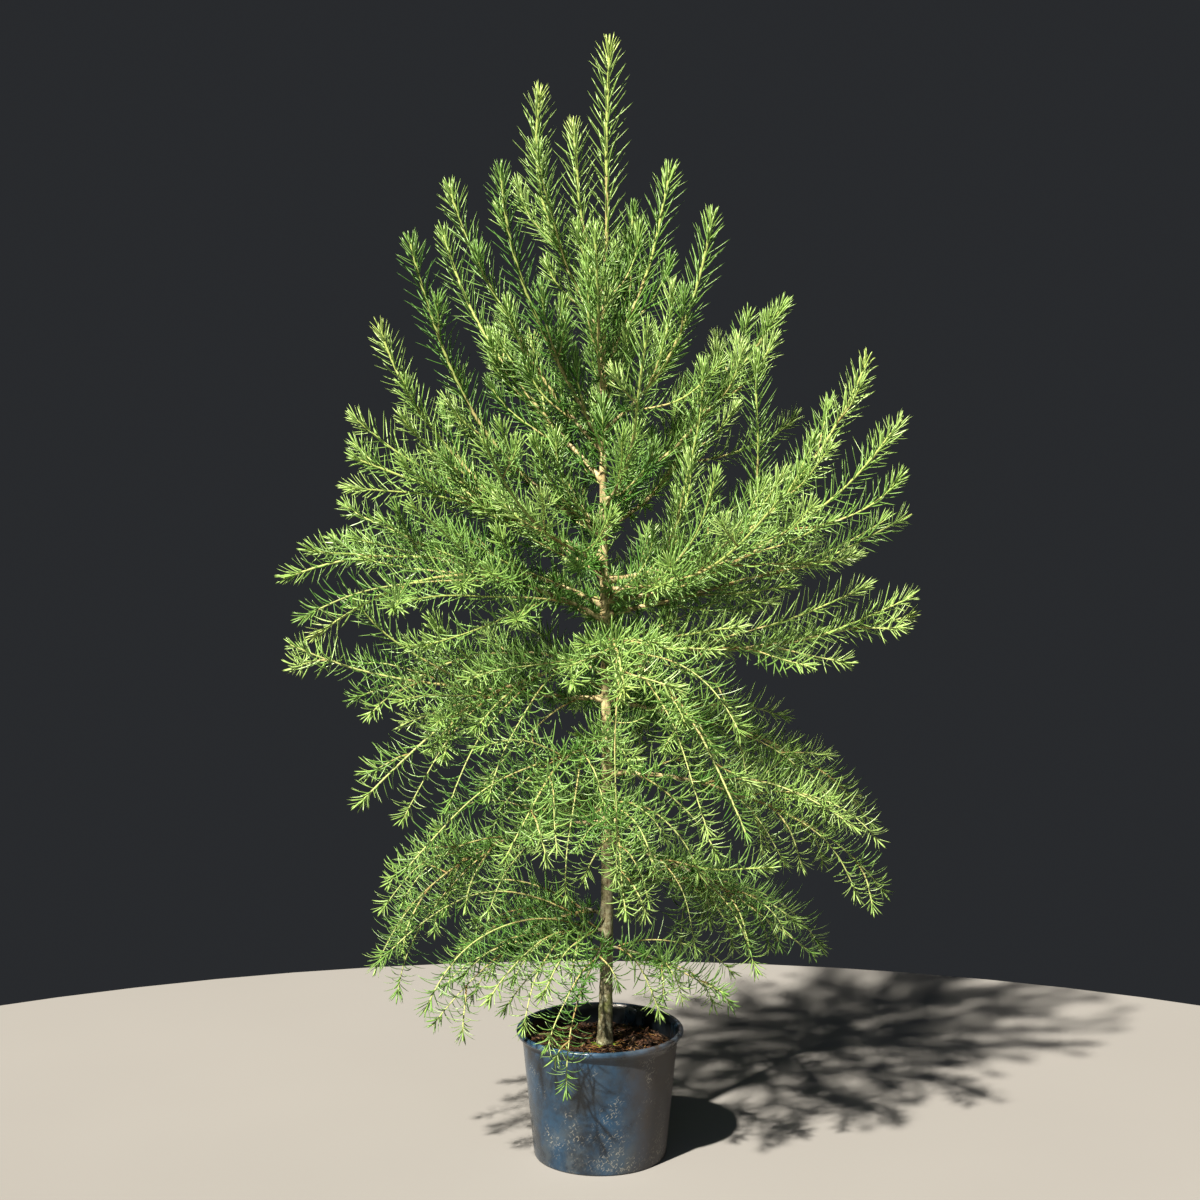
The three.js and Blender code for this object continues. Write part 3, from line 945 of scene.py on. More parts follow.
BOUGHS = (
    BoughRow(z=1535, turn=195, reach=54, rise=290, bow=12, twigs=0),
    BoughRow(z=1472, turn=160, reach=115, rise=415, bow=45, twigs=1),
    BoughRow(z=1400, turn=60, reach=110, rise=290, bow=20, twigs=1),
    BoughRow(z=1394, turn=20, reach=124, rise=362, bow=15, twigs=1),
    BoughRow(z=1380, turn=265, reach=150, rise=270, bow=30, twigs=1),
    BoughRow(z=1308, turn=340, reach=196, rise=366, bow=45, twigs=2),
    BoughRow(z=1282, turn=215, reach=207, rise=464, bow=35, twigs=2),
    BoughRow(z=1273, turn=172, reach=268, rise=452, bow=30, twigs=1),
    BoughRow(z=1240, turn=85, reach=290, rise=390, bow=50, twigs=2),
    BoughRow(z=1221, turn=150, reach=330, rise=430, bow=40, twigs=2),
    BoughRow(z=1186, turn=10, reach=322, rise=340, bow=30, twigs=4, wood=90),
    BoughRow(z=1165, turn=285, reach=280, rise=330, bow=50, twigs=2),
    BoughRow(z=1135, turn=45, reach=380, rise=370, bow=60, twigs=3),
    BoughRow(z=1124, turn=192, reach=335, rise=510, bow=70, twigs=3, wood=120),
    BoughRow(z=1108, turn=110, reach=400, rise=350, bow=60, twigs=3),
    BoughRow(z=1090, turn=170, reach=400, rise=395, bow=70, twigs=3),
    BoughRow(z=1075, turn=238, reach=370, rise=240, bow=40, twigs=3),
    BoughRow(z=1050, turn=187, reach=436, rise=215, bow=-20, twigs=4, wood=120),
    BoughRow(z=1045, turn=5, reach=462, rise=385, bow=95, twigs=4, wood=110),
    BoughRow(z=1030, turn=316, reach=400, rise=190, bow=50, twigs=4),
    BoughRow(z=1010, turn=348, reach=495, rise=300, bow=60, twigs=3, wood=120),
    BoughRow(z=1000, turn=178, reach=565, rise=45, bow=-60, twigs=4, wood=130),
    BoughRow(z=985, turn=24, reach=570, rise=145, bow=25, twigs=3),
    BoughRow(z=974, turn=205, reach=535, rise=5, bow=-90, twigs=3),
    BoughRow(z=960, turn=80, reach=500, rise=120, bow=20, twigs=3),
    BoughRow(z=945, turn=275, reach=350, rise=-40, bow=-30, twigs=3, wood=90),
    BoughRow(z=939, turn=355, reach=535, rise=50, bow=30, twigs=4),
    BoughRow(z=925, turn=308, reach=380, rise=-270, bow=-60, twigs=3),
    BoughRow(z=915, turn=205, reach=462, rise=-228, bow=-45, twigs=4, wood=110),
    BoughRow(z=880, turn=140, reach=470, rise=-70, bow=-50, twigs=3),
    BoughRow(z=835, turn=188, reach=550, rise=108, bow=25, twigs=4, wood=120),
    BoughRow(z=832, turn=25, reach=515, rise=-230, bow=-40, twigs=4, wood=120),
    BoughRow(z=800, turn=70, reach=470, rise=-100, bow=-40, twigs=3),
    BoughRow(z=760, turn=245, reach=400, rise=-130, bow=-50, twigs=3),
    BoughRow(z=700, turn=358, reach=495, rise=-215, bow=-65, twigs=4, wood=110),
    BoughRow(z=655, turn=275, reach=350, rise=-120, bow=-40, twigs=3),
    BoughRow(z=630, turn=110, reach=430, rise=-170, bow=-50, twigs=3),
    BoughRow(z=610, turn=188, reach=415, rise=-255, bow=-85, twigs=4, wood=100),
    BoughRow(z=579, turn=343, reach=380, rise=-180, bow=-25, twigs=3),
    BoughRow(z=500, turn=45, reach=360, rise=-140, bow=-40, twigs=3),
    BoughRow(z=440, turn=140, reach=350, rise=-130, bow=-45, twigs=3),
    BoughRow(z=414, turn=205, reach=335, rise=-132, bow=-55, twigs=3),
    BoughRow(z=396, turn=251, reach=215, rise=-215, bow=-60, twigs=2),
    BoughRow(z=386, turn=322, reach=261, rise=-40, bow=-10, twigs=3),
)


@dataclass(frozen=True)
class PhotoCamera:
    """The camera of the photograph, in millimetres, with the picture in pixels.

    Attributes:
        distance: How far it stands in front of the pot's middle.
        height: How high it stands.
        pitch: How far it looks down, in degrees.
        lens: Its focal length.
        sensor: Width of its sensor.
        picture: Width and height of the photograph in pixels.
    """

    distance: float = 4120.0
    height: float = 1583.0
    pitch: float = 7.92
    lens: float = 71.17
    sensor: float = 36.0
    picture: float = 1200.0

    def place(self, across: float, down: float, depth: float) -> Array:
        """Finds the place that the photograph shows at a pixel.

        Args:
            across: Pixels from the picture's left.
            down: Pixels from its top.
            depth: How far behind the pot's middle the place is.

        Returns:
            The place.
        """
        focal = self.lens / self.sensor * self.picture
        right = (across - self.picture / 2) / focal
        rise = (self.picture / 2 - down) / focal
        tilt = math.radians(self.pitch)
        ahead = np.array([0.0, math.cos(tilt), -math.sin(tilt)])
        over = np.array([0.0, math.sin(tilt), math.cos(tilt)])
        ray = ahead + over * rise + np.array([right, 0.0, 0.0])
        eye = np.array([0.0, -self.distance, self.height])
        return eye + ray * ((depth + self.distance) / ray[1])


@dataclass(frozen=True)
class SprayRow:
    """One long side shoot that the photograph shows.

    Attributes:
        bough: Number of the bough that it grows from.
        place: Share of the bough where it leaves it.
        across: Where its tip is in the photograph, in pixels from the left.
        down: The same, in pixels from the top.
        depth: How far behind the pot's middle its tip is.
        bow: How far its middle sags, as a share of its length, or stands up where negative.
    """

    bough: int
    place: float
    across: float
    down: float
    depth: float
    bow: float = 0.0


SPRAYS = (
    SprayRow(bough=2, place=0.25, across=538, down=146, depth=-60, bow=0.05),
    SprayRow(bough=6, place=0.2, across=673, down=286, depth=-60, bow=0.08),
    SprayRow(bough=6, place=0.12, across=722, down=362, depth=-90, bow=0.12),
    SprayRow(bough=13, place=0.4, across=798, down=415, depth=150, bow=0.1),
    SprayRow(bough=11, place=0.55, across=775, down=338, depth=-20, bow=0.1),
    SprayRow(bough=19, place=0.45, across=758, down=356, depth=-20, bow=0.06),
    SprayRow(bough=19, place=0.14, across=703, down=364, depth=-80, bow=0.06),
    SprayRow(bough=19, place=0.34, across=815, down=438, depth=-20, bow=0.1),
    SprayRow(bough=21, place=0.6, across=902, down=474, depth=-120, bow=0.12),
    SprayRow(bough=23, place=0.5, across=912, down=514, depth=170, bow=0.05),
    SprayRow(bough=27, place=0.28, across=868, down=586, depth=-90, bow=0.02),
    SprayRow(bough=19, place=0.08, across=690, down=455, depth=-60, bow=0.14),
    SprayRow(bough=19, place=0.22, across=784, down=472, depth=-110, bow=0.1),
    SprayRow(bough=20, place=0.25, across=716, down=474, depth=-240, bow=0.1),
    SprayRow(bough=23, place=0.12, across=676, down=492, depth=20, bow=0.12),
    SprayRow(bough=36, place=0.12, across=702, down=880, depth=-170, bow=-0.2),
    SprayRow(bough=36, place=0.2, across=655, down=868, depth=-230, bow=-0.16),
    SprayRow(bough=40, place=0.4, across=822, down=950, depth=120, bow=-0.16),
    SprayRow(bough=39, place=0.55, across=800, down=926, depth=-90, bow=-0.1),
    SprayRow(bough=42, place=0.03, across=377, down=965, depth=-130, bow=-0.24),
    SprayRow(bough=42, place=0.07, across=424, down=1013, depth=-190, bow=-0.24),
    SprayRow(bough=41, place=0.15, across=399, down=930, depth=120, bow=-0.2),
    SprayRow(bough=27, place=0.5, across=913, down=596, depth=-80, bow=0.05),
    SprayRow(bough=16, place=0.38, across=352, down=416, depth=20, bow=0.06),
    SprayRow(bough=18, place=0.3, across=346, down=488, depth=-120, bow=-0.06),
    SprayRow(bough=24, place=0.3, across=300, down=620, depth=-260, bow=-0.08),
    SprayRow(bough=31, place=0.4, across=352, down=598, depth=-100, bow=0.06),
    SprayRow(bough=31, place=0.2, across=430, down=618, depth=-160, bow=0.08),
    SprayRow(bough=24, place=0.1, across=404, down=602, depth=-230, bow=-0.04),
    SprayRow(bough=29, place=0.4, across=402, down=822, depth=-220, bow=-0.08),
    SprayRow(bough=29, place=0.25, across=447, down=812, depth=-250, bow=-0.1),
    SprayRow(bough=29, place=0.14, across=489, down=800, depth=-240, bow=-0.12),
    SprayRow(bough=34, place=0.3, across=404, down=872, depth=-330, bow=-0.1),
    SprayRow(bough=38, place=0.35, across=397, down=997, depth=-120, bow=-0.12),
    SprayRow(bough=42, place=0.12, across=487, down=1003, depth=-210, bow=-0.14),
    SprayRow(bough=42, place=0.16, across=511, down=984, depth=-130, bow=-0.16),
    SprayRow(bough=34, place=0.2, across=566, down=900, depth=-250, bow=-0.12),
    SprayRow(bough=42, place=0.26, across=458, down=980, depth=-140, bow=-0.14),
    SprayRow(bough=42, place=0.2, across=523, down=1034, depth=-190, bow=-0.16),
    SprayRow(bough=43, place=0.2, across=547, down=1052, depth=-210, bow=-0.12),
    SprayRow(bough=43, place=0.1, across=503, down=1012, depth=-120, bow=-0.16),
    SprayRow(bough=42, place=0.34, across=441, down=992, depth=-90, bow=-0.12),
    SprayRow(bough=41, place=0.06, across=470, down=1000, depth=10, bow=-0.16),
    SprayRow(bough=42, place=0.05, across=541, down=1000, depth=-190, bow=-0.12),
    SprayRow(bough=44, place=0.1, across=661, down=1017, depth=-150, bow=-0.14),
    SprayRow(bough=26, place=0.75, across=616, down=882, depth=-320, bow=-0.1),
    SprayRow(bough=26, place=0.45, across=622, down=702, depth=-345, bow=0.05),
    SprayRow(bough=28, place=0.12, across=709, down=836, depth=-330, bow=-0.1),
    SprayRow(bough=28, place=0.08, across=742, down=738, depth=-260, bow=-0.16),
    SprayRow(bough=27, place=0.1, across=744, down=628, depth=-170, bow=-0.02),
    SprayRow(bough=27, place=0.3, across=751, down=797, depth=-140, bow=-0.08),
    SprayRow(bough=35, place=0.08, across=719, down=860, depth=-210, bow=-0.1),
    SprayRow(bough=35, place=0.3, across=858, down=830, depth=-120, bow=-0.12),
    SprayRow(bough=35, place=0.5, across=858, down=900, depth=-60, bow=-0.14),
    SprayRow(bough=39, place=0.22, across=773, down=868, depth=-210, bow=0.04),
    SprayRow(bough=39, place=0.4, across=757, down=974, depth=-140, bow=-0.12),
)


@dataclass(frozen=True)
class TrunkLine:
    """Centre and radius of the trunk at each height, by the rule of the part's source."""

    foot: float
    top: float
    foot_radius: float = 12.5
    top_radius: float = 3.6
    flare: float = 3.0
    flare_height: float = 26.0
    offset: float = 9.0
    sway: float = 4.0
    sway_length: float = 1500.0

    def centre(self, z: Array) -> Array:
        """Finds the trunk's centre.

        Args:
            z: Heights.

        Returns:
            The centre at each of them, one a row.
        """
        phase = 2 * math.pi * (z - self.foot) / self.sway_length
        x = self.offset + self.sway * np.sin(phase)
        y = self.sway * (np.cos(phase) - 1) / 2
        return np.stack([x, y, z], axis=-1)

    def at(self, z: float) -> Array:
        """Returns the trunk's centre at one height."""
        return self.centre(np.array(z))

    def radius(self, z: Array) -> Array:
        """Finds the trunk's radius.

        Args:
            z: Heights.

        Returns:
            The radius at each of them.
        """
        share = (z - self.foot) / (self.top - self.foot)
        flare = self.flare * np.exp((self.foot - z) / self.flare_height)
        return lerp(self.foot_radius, self.top_radius, share) + flare


@dataclass
class Run:
    """A run whose middle sags under its straight line, with a slight wander from side to side."""

    start: Array
    along: Array
    bow: float
    wander: float
    turn: float
    ripple: float = 0.6
    steps: int = 60
    near: float = 0.004

    def __post_init__(self) -> None:
        """Works out which way it sags and strays, and its length."""
        sideways = unit(np.cross(self.along, UP))
        down = unit(np.cross(self.along, sideways))
        cosine, sine = math.cos(self.turn), math.sin(self.turn)
        self.sag = down * self.bow
        self.long_wave = (sideways * cosine + down * sine) * self.wander
        self.short_wave = (down * cosine - sideways * sine) * self.wander * self.ripple
        points = self.at(np.linspace(0, 1, self.steps))
        self.length = float(np.linalg.norm(np.diff(points, axis=0), axis=1).sum())

    def at(self, shares: Array) -> Array:
        """Follows the run.

        Args:
            shares: Shares of it.

        Returns:
            The points there, one a row.
        """
        s = np.asarray(shares, dtype=float)[..., None]
        curve = self.start + self.along * s + self.sag * 4 * s * (1 - s)
        return curve + self.long_wave * np.sin(2 * math.pi * s) + self.short_wave * np.sin(3 * math.pi * s)

    def heading(self, shares: Array) -> Array:
        """Returns the unit directions at shares of the run, one a row."""
        s = np.asarray(shares, dtype=float)
        return unit(self.at(np.minimum(s + self.near, 1.0)) - self.at(np.maximum(s - self.near, 0.0)))


@dataclass
class Stem:
    """A bough's main shoot, or a twig on it.

    Attributes:
        run: The curve that it follows.
        root_radius: Radius at its foot.
        tip_radius: Radius at its tip.
        level: From -0.75, where shoots hang, to 0.75, where they rise.
        seed: Seed of its needles.
        order: 0 for a main shoot, 1 for a side shoot and 2 for a twiglet.
        seasoned: Length of last year's wood at its foot.
        bud_room: Length at its end that has no needle's foot.
        taper: How soon it thins: 1 for evenly, and more for soon.
        seed_steps: What a shoot's seed takes from this one's seed, its order and the shoot's turn.
    """

    run: Run
    root_radius: float
    tip_radius: float
    level: float
    seed: int
    order: int
    seasoned: float = 0.0
    bud_room: float = 7.0
    taper: float = 1.6
    seed_steps: tuple[int, int, int] = (7, 13, 1000)

    @property
    def length(self) -> float:
        """Length from its foot to the end of its last needles."""
        return self.run.length

    @property
    def needled_end(self) -> float:
        """Distance from its foot to that of its last needle."""
        return self.length - self.bud_room

    def radius(self, distance: Array) -> Array:
        """Returns the radius at distances from the foot."""
        left = np.clip(1 - np.asarray(distance, dtype=float) / self.length, 0.0, 1.0)
        return lerp(self.tip_radius, self.root_radius, left**self.taper)

    def course(self, distance: Array) -> tuple[Array, Array]:
        """Returns the points and the unit directions at distances from the foot, one a row."""
        shares = np.asarray(distance, dtype=float) / self.length
        return self.run.at(shares), self.run.heading(shares)

    def point(self, share: float) -> Array:
        """Returns the point at a share of the stem."""
        return self.run.at(np.array(share))

    def direction(self, share: float) -> Array:
        """Returns the direction at a share of the stem."""
        return self.run.heading(np.array(share))

    def shoot_seed(self, number: int, turn: float) -> int:
        """Returns the seed of one of its shoots, by the shoot's number and turn."""
        by_seed, by_order, by_turn = self.seed_steps
        return self.seed * by_seed + number + by_order * self.order + int(by_turn * turn)


@dataclass(frozen=True)
class TwigRule(Blend):
    """How shoots branch off a stem: where they stand, how long they are and how they spread."""

    first: float
    last: float
    share: float
    shrink: float
    vary_least: float
    vary_most: float
    spread_least: float
    spread_most: float
    roll: float
    bow: float
    root_radius: float
    tip_radius: float
    least: float
    ease: float


SIDE_SHOOTS = TwigRule(
    first=0.08, last=0.82, share=0.4, shrink=0.45, vary_least=0.8, vary_most=1.25, spread_least=35,
    spread_most=60, roll=0, bow=0.16, root_radius=1.9, tip_radius=1.2, least=0, ease=0,
)
HANGING_SHOOTS = TwigRule(
    first=0.04, last=0.62, share=0.64, shrink=0.45, vary_least=0.7, vary_most=1.2, spread_least=24,
    spread_most=50, roll=35, bow=0.22, root_radius=1.4, tip_radius=0.8, least=90, ease=0.92,
)
RISING_SHOOTS = TwigRule(
    first=0.04, last=0.42, share=0.5, shrink=0.5, vary_least=0.6, vary_most=1.25, spread_least=18,
    spread_most=34, roll=75, bow=0.12, root_radius=1.9, tip_radius=1.7, least=80, ease=0.4,
)
TWIGLETS = TwigRule(
    first=0.12, last=0.55, share=0.5, shrink=0.4, vary_least=0.7, vary_most=1.2, spread_least=28,
    spread_most=50, roll=70, bow=0.1, root_radius=1.3, tip_radius=0.9, least=70, ease=0.8,
)


@dataclass(frozen=True)
class TrunkShoots:
    """Short shoots that leave the trunk between the boughs."""

    count: int = 22
    low: float = 560.0
    high: float = 1545.0
    lengths: Pair = (80.0, 190.0)
    vary: Pair = (0.6, 1.2)
    slopes: Pair = (-0.2, 1.9)
    stray: float = 0.5
    bow: float = 0.15
    wander: float = 0.01
    root_radius: float = 1.7
    tip_radius: float = 1.0
    seed: int = 977
    needle_seed: int = 4000


@dataclass
class Bough:
    """A bough of the crown, with its main shoot and all that branches off it."""

    row: BoughRow
    owner: int
    stem: Stem
    twigs: list[Stem] = field(default_factory=list)


@dataclass
class Crown:
    """The whole crown, grown from the trunk by the rule of the part's source."""

    trunk: TrunkLine
    pot_height: float
    pot_radius: float
    camera: PhotoCamera = PhotoCamera()
    trunk_shoots: TrunkShoots = TrunkShoots()
    level_height: float = 960.0
    lift_height: float = 330.0
    leader_rise: float = 392.0
    leader_lean: float = 10.0
    leader_tip: float = 2.6
    leader_seasoned: float = 30.0
    leader_stray: Pair = (2.5, 1.0)
    overlap: float = 2.0
    root_share: float = 0.0078
    root_least: float = 2.3
    hanging_tip: float = 1.0
    rising_tip: float = 2.4
    least_taper: float = 0.3
    gap: float = 0.3
    wander: float = 0.009
    young_above: float = 1420.0
    ageing_height: float = 900.0
    seasoned: Pair = (0.12, 0.52)
    seasoned_past_wood: float = 30.0
    hanging_pitch: float = 88.0
    rising_pitch: float = 200.0
    fine_reach: float = 300.0
    short_reach: float = 250.0
    twiglet_from: float = 240.0
    twiglet_pitch: float = 220.0
    shown_root: Pair = (1.5, 2.1)
    shown_tip: Pair = (0.9, 1.8)
    pot_room: float = 12.0
    pot_checks: int = 12
    bough_seed: int = 101
    fine_seed: int = 100
    shown_seed: int = 6000

    def lift(self, z: float) -> float:
        """Returns how shoots lift, where positive, or hang at a height."""
        return clamp((z - self.level_height) / self.lift_height, -LIFT_MOST, LIFT_MOST)

    def leader(self) -> Stem:
        """Grows the tree's top shoot, which goes on from the trunk.

        Returns:
            The shoot.
        """
        start = self.trunk.at(self.trunk.top - self.overlap)
        along = np.array([self.leader_lean, 0.0, self.leader_rise + self.overlap])
        run = Run(start, along, 0, *self.leader_stray)
        radii = (self.trunk.top_radius, self.leader_tip)
        return Stem(run, *radii, level=LIFT_MOST, seed=1, order=0, seasoned=self.leader_seasoned)

    def bough(self, row: BoughRow, owner: int) -> Bough:
        """Grows a bough's main shoot.

        Args:
            row: The bough's row.
            owner: Its number, which seeds what grows on it.

        Returns:
            The bough, still without twigs.
        """
        angle = math.radians(row.turn)
        along = np.array([row.reach * math.cos(angle), row.reach * math.sin(angle), row.rise])
        wander = self.wander * float(np.linalg.norm(along))
        run = Run(self.trunk.at(row.z), along, row.bow, wander, owner * GOLDEN_TURN)
        root = max(self.root_least, self.root_share * run.length)
        age = clamp((self.young_above - row.z) / self.ageing_height, 0.0, 1.0)
        seasoned = max(row.wood + self.seasoned_past_wood, run.length * lerp(*self.seasoned, age))
        level = self.lift(row.z)
        tip = lerp(self.hanging_tip, self.rising_tip, rising_share(level))
        root = max(root, tip + self.least_taper)
        stem = Stem(run, root, tip, level, seed=owner * self.bough_seed, order=0, seasoned=seasoned)
        return Bough(row, owner, stem)

    def shoots(
        self, parent: Stem, start: float, reach: float, count: int, rule: TwigRule, draw: Draw
    ) -> Iterator[Stem]:
        """Grows shoots off a stem, in turn to its left and right.

        Args:
            parent: The stem.
            start: Share of the stem before which none stands.
            reach: The length that the rule's shares are of.
            count: How many shoots.
            rule: How they branch.
            draw: Numbers that vary them.

        Yields:
            The shoots that are long enough and clear of the pot.
        """
        lift = parent.level
        for k in range(count):
            share = lerp(rule.first, rule.last, (k + draw()) / count)
            spread = math.radians(draw.between(rule.spread_least, rule.spread_most))
            vary = draw.between(rule.vary_least, rule.vary_most)
            length = rule.share * reach * (1 - rule.shrink * share) * vary
            turn = draw() * 2 * math.pi
            roll = math.radians(rule.roll) * math.sin(turn)
            place = lerp(start, 1.0, share)
            heading = parent.direction(place)
            sideways = unit(np.cross(heading, UP))
            over = np.cross(sideways, heading)
            side = 1 if k % 2 else -1
            out = sideways * side * math.cos(roll) + over * math.sin(roll)
            rise = lift * (1 - rule.ease * math.sqrt(draw())) if rule.ease else lift
            if length < rule.least:
                continue
            along = unit(heading * math.cos(spread) + out * math.sin(spread) + UP * rise) * length
            run = Run(parent.point(place), along, rule.bow * lift * length, self.wander * length, turn)
            if self.clear_of_pot(run):
                seed = parent.shoot_seed(k, turn)
                yield Stem(run, rule.root_radius, rule.tip_radius, lift, seed, parent.order + 1)

    def clear_of_pot(self, run: Run) -> bool:
        """Checks a run against the pot.

        Args:
            run: The run.

        Returns:
            True if it stays over the pot or outside it.
        """
        points = run.at(np.linspace(0.0, 1.0, self.pot_checks))
        over = points[:, 2] > self.pot_height + self.pot_room
        beside = np.hypot(points[:, 0], points[:, 1]) > self.pot_radius + self.pot_room
        return bool(np.all(over | beside))

    def grow(self) -> list[Bough]:
        """Grows the boughs with their twigs.

        Returns:
            The boughs, from the top of the crown down.
        """
        boughs = [self.bough(row, i + 1) for i, row in enumerate(BOUGHS)]
        for bough in boughs:
            self.branch(bough)
        for number, row in enumerate(SPRAYS):
            bough = boughs[row.bough - 1]
            bough.twigs.append(self.shown_shoot(bough.stem, row, self.shown_seed + number))
        self.grow_from_trunk(boughs)
        return boughs

    def branch(self, bough: Bough) -> None:
        """Grows a bough's side shoots, its finer shoots, and the twiglets on them.

        Args:
            bough: The bough, still without twigs.
        """
        row, stem = bough.row, bough.stem
        start = (row.wood + self.gap) / stem.length if row.wood else 0.0
        sides = list(self.shoots(stem, start, row.reach, row.twigs, SIDE_SHOOTS, Draw(bough.owner)))
        rule = HANGING_SHOOTS.towards(RISING_SHOOTS, rising_share(stem.level))
        reach = max(row.reach, self.fine_reach)
        draw = Draw(bough.owner + self.fine_seed)
        fine = list(self.shoots(stem, 0.0, reach, self.fine_count(bough), rule, draw))
        bough.twigs = sides + fine
        for twig in sides + fine:
            if twig.length > self.twiglet_from:
                count = round(twig.length / self.twiglet_pitch)
                bough.twigs += self.shoots(twig, 0.0, twig.length, count, TWIGLETS, Draw(twig.seed))

    def fine_count(self, bough: Bough) -> int:
        """Counts a bough's finer shoots, less one for each two that the photograph shows.

        Args:
            bough: The bough.

        Returns:
            How many there are.
        """
        stem = bough.stem
        if bough.row.reach < self.short_reach and stem.level < 0:
            return 0
        pitch = lerp(self.hanging_pitch, self.rising_pitch, rising_share(stem.level))
        shown = sum(row.bough == bough.owner for row in SPRAYS)
        return max(round(stem.length / pitch) - shown // 2, 0)

    def shown_shoot(self, parent: Stem, row: SprayRow, seed: int) -> Stem:
        """Grows a long side shoot whose tip is where the photograph shows it.

        Args:
            parent: The bough's main shoot.
            row: The shoot's row.
            seed: Seed of its needles.

        Returns:
            The shoot.
        """
        root = parent.point(row.place)
        along = self.camera.place(row.across, row.down, row.depth) - root
        length = float(np.linalg.norm(along))
        run = Run(root, along, row.bow * length, self.wander * length, seed * GOLDEN_TURN)
        level = LIFT_MOST * float(along[2]) / length
        radii = [lerp(*pair, rising_share(level)) for pair in (self.shown_root, self.shown_tip)]
        return Stem(run, *radii, level=level, seed=seed, order=1)

    def grow_from_trunk(self, boughs: Sequence[Bough]) -> None:
        """Adds short shoots that leave the trunk between the boughs.

        Args:
            boughs: The boughs, the nearest of which takes each shoot.
        """
        rule = self.trunk_shoots
        draw = Draw(rule.seed)
        for k in range(rule.count):
            z = lerp(rule.low, rule.high, (k + draw()) / rule.count)
            level = self.lift(z)
            bearing = k * GOLDEN_TURN + draw() * rule.stray
            length = lerp(*rule.lengths, rising_share(level)) * draw.between(*rule.vary)
            slope = lerp(*rule.slopes, rising_share(level))
            along = unit(np.array([math.cos(bearing), math.sin(bearing), slope])) * length
            run = Run(self.trunk.at(z), along, rule.bow * length, rule.wander * length, bearing)
            nearest = min(boughs, key=lambda bough: abs(bough.row.z - z))
            stem = Stem(run, rule.root_radius, rule.tip_radius, level, rule.needle_seed + k, order=1)
            nearest.twigs.append(stem)


# Needles


@dataclass(frozen=True)
class Habit(Blend):
    """How needles stand on a shoot, with their lean from it in degrees."""

    length: float
    lean: float
    bend: float
    pitch: float
    thinned: float


HANGING_HABIT = Habit(length=55, lean=68, bend=1.4, pitch=3.8, thinned=0.06)
LEVEL_HABIT = Habit(length=55, lean=60, bend=0.6, pitch=3.7, thinned=0.06)
RISING_HABIT = Habit(length=58, lean=42, bend=0.3, pitch=3.2, thinned=0.06)


@dataclass
class Needles:
    """Needles in arrays, one a row: foot, first and last heading, side, length, width and tone."""

    foot: Array
    first: Array
    last: Array
    side: Array
    length: Array
    width: Array
    tone: Array

    def __len__(self) -> int:
        """Returns how many there are."""
        return len(self.foot)

    def kept(self, chosen: Array) -> Needles:
        """Returns those chosen by a mask."""
        return Needles(*(getattr(self, column.name)[chosen] for column in fields(self)))

    def tips(self) -> Array:
        """Returns where they end."""
        return self.foot + self.length[:, None] * (self.first + self.last) / 2

    @staticmethod
    def joined(groups: Sequence[Needles]) -> Needles:
        """Returns one set of all the groups' needles."""
        names = [column.name for column in fields(Needles)]
        return Needles(*(np.concatenate([getattr(group, name) for group in groups]) for name in names))


@dataclass(frozen=True)
class NeedleShape:
    """A needle's outline: a flat blade with a low keel, widest in the middle and drawn to a point."""

    stations: tuple[float, ...] = (0.0, 0.26, 0.52, 0.78)
    widths: tuple[float, ...] = (0.6, 0.95, 1.0, 0.78)
    keel: float = 0.62

    @property
    def triangles(self) -> int:
        """Triangles that one needle takes."""
        return 6 * (len(self.stations) - 1) + 3

    def draw(self, sketch: Sketch, needles: Needles) -> None:
        """Adds needles to a sketch, in the slots of their tones.

        Args:
            sketch: The sketch.
            needles: The needles.
        """
        count, rings = len(needles), len(self.stations)
        t = np.array(self.stations)[None, :, None]
        first, turn = needles.first[:, None, :], (needles.last - needles.first)[:, None, :]
        length = needles.length[:, None, None]
        centre = needles.foot[:, None, :] + length * (first * t + turn * t * t / 2)
        heading = unit(first + turn * t)
        side = np.broadcast_to(needles.side[:, None, :], heading.shape)
        ridge = np.cross(heading, side)
        half = needles.width[:, None, None] * np.array(self.widths)[None, :, None] / 2
        corners = [centre - side * half, centre + side * half, centre + ridge * half * self.keel]
        body = np.stack(corners, axis=2).reshape(count, rings * 3, 3)
        points = np.concatenate([body, needles.tips()[:, None, :]], axis=1)
        sketch.add_copies(points, closed_tube(rings, 3, 1), needles.tone)


@dataclass(frozen=True)
class TipBrush(Blend):
    """The close brush of young needles along the end of a shoot, with their lean in degrees."""

    run: float
    count: float
    lean: float
    length: float


@dataclass(frozen=True)
class Rosette:
    """Rosettes of needles on older wood."""

    pitch: float = 14.0
    needles: int = 12
    length: float = 25.0
    vary_length: Pair = (0.7, 1.2)
    width: float = 0.85
    first: float = 14.0
    tip_room: float = 40.0
    stray: float = 4.0
    turned_on: float = 0.3
    stand_off: float = 0.8
    lean: float = 14.0
    spread: float = 62.0
    curl: float = 0.72
    vary_turn: float = 0.4
    seed: int = 5


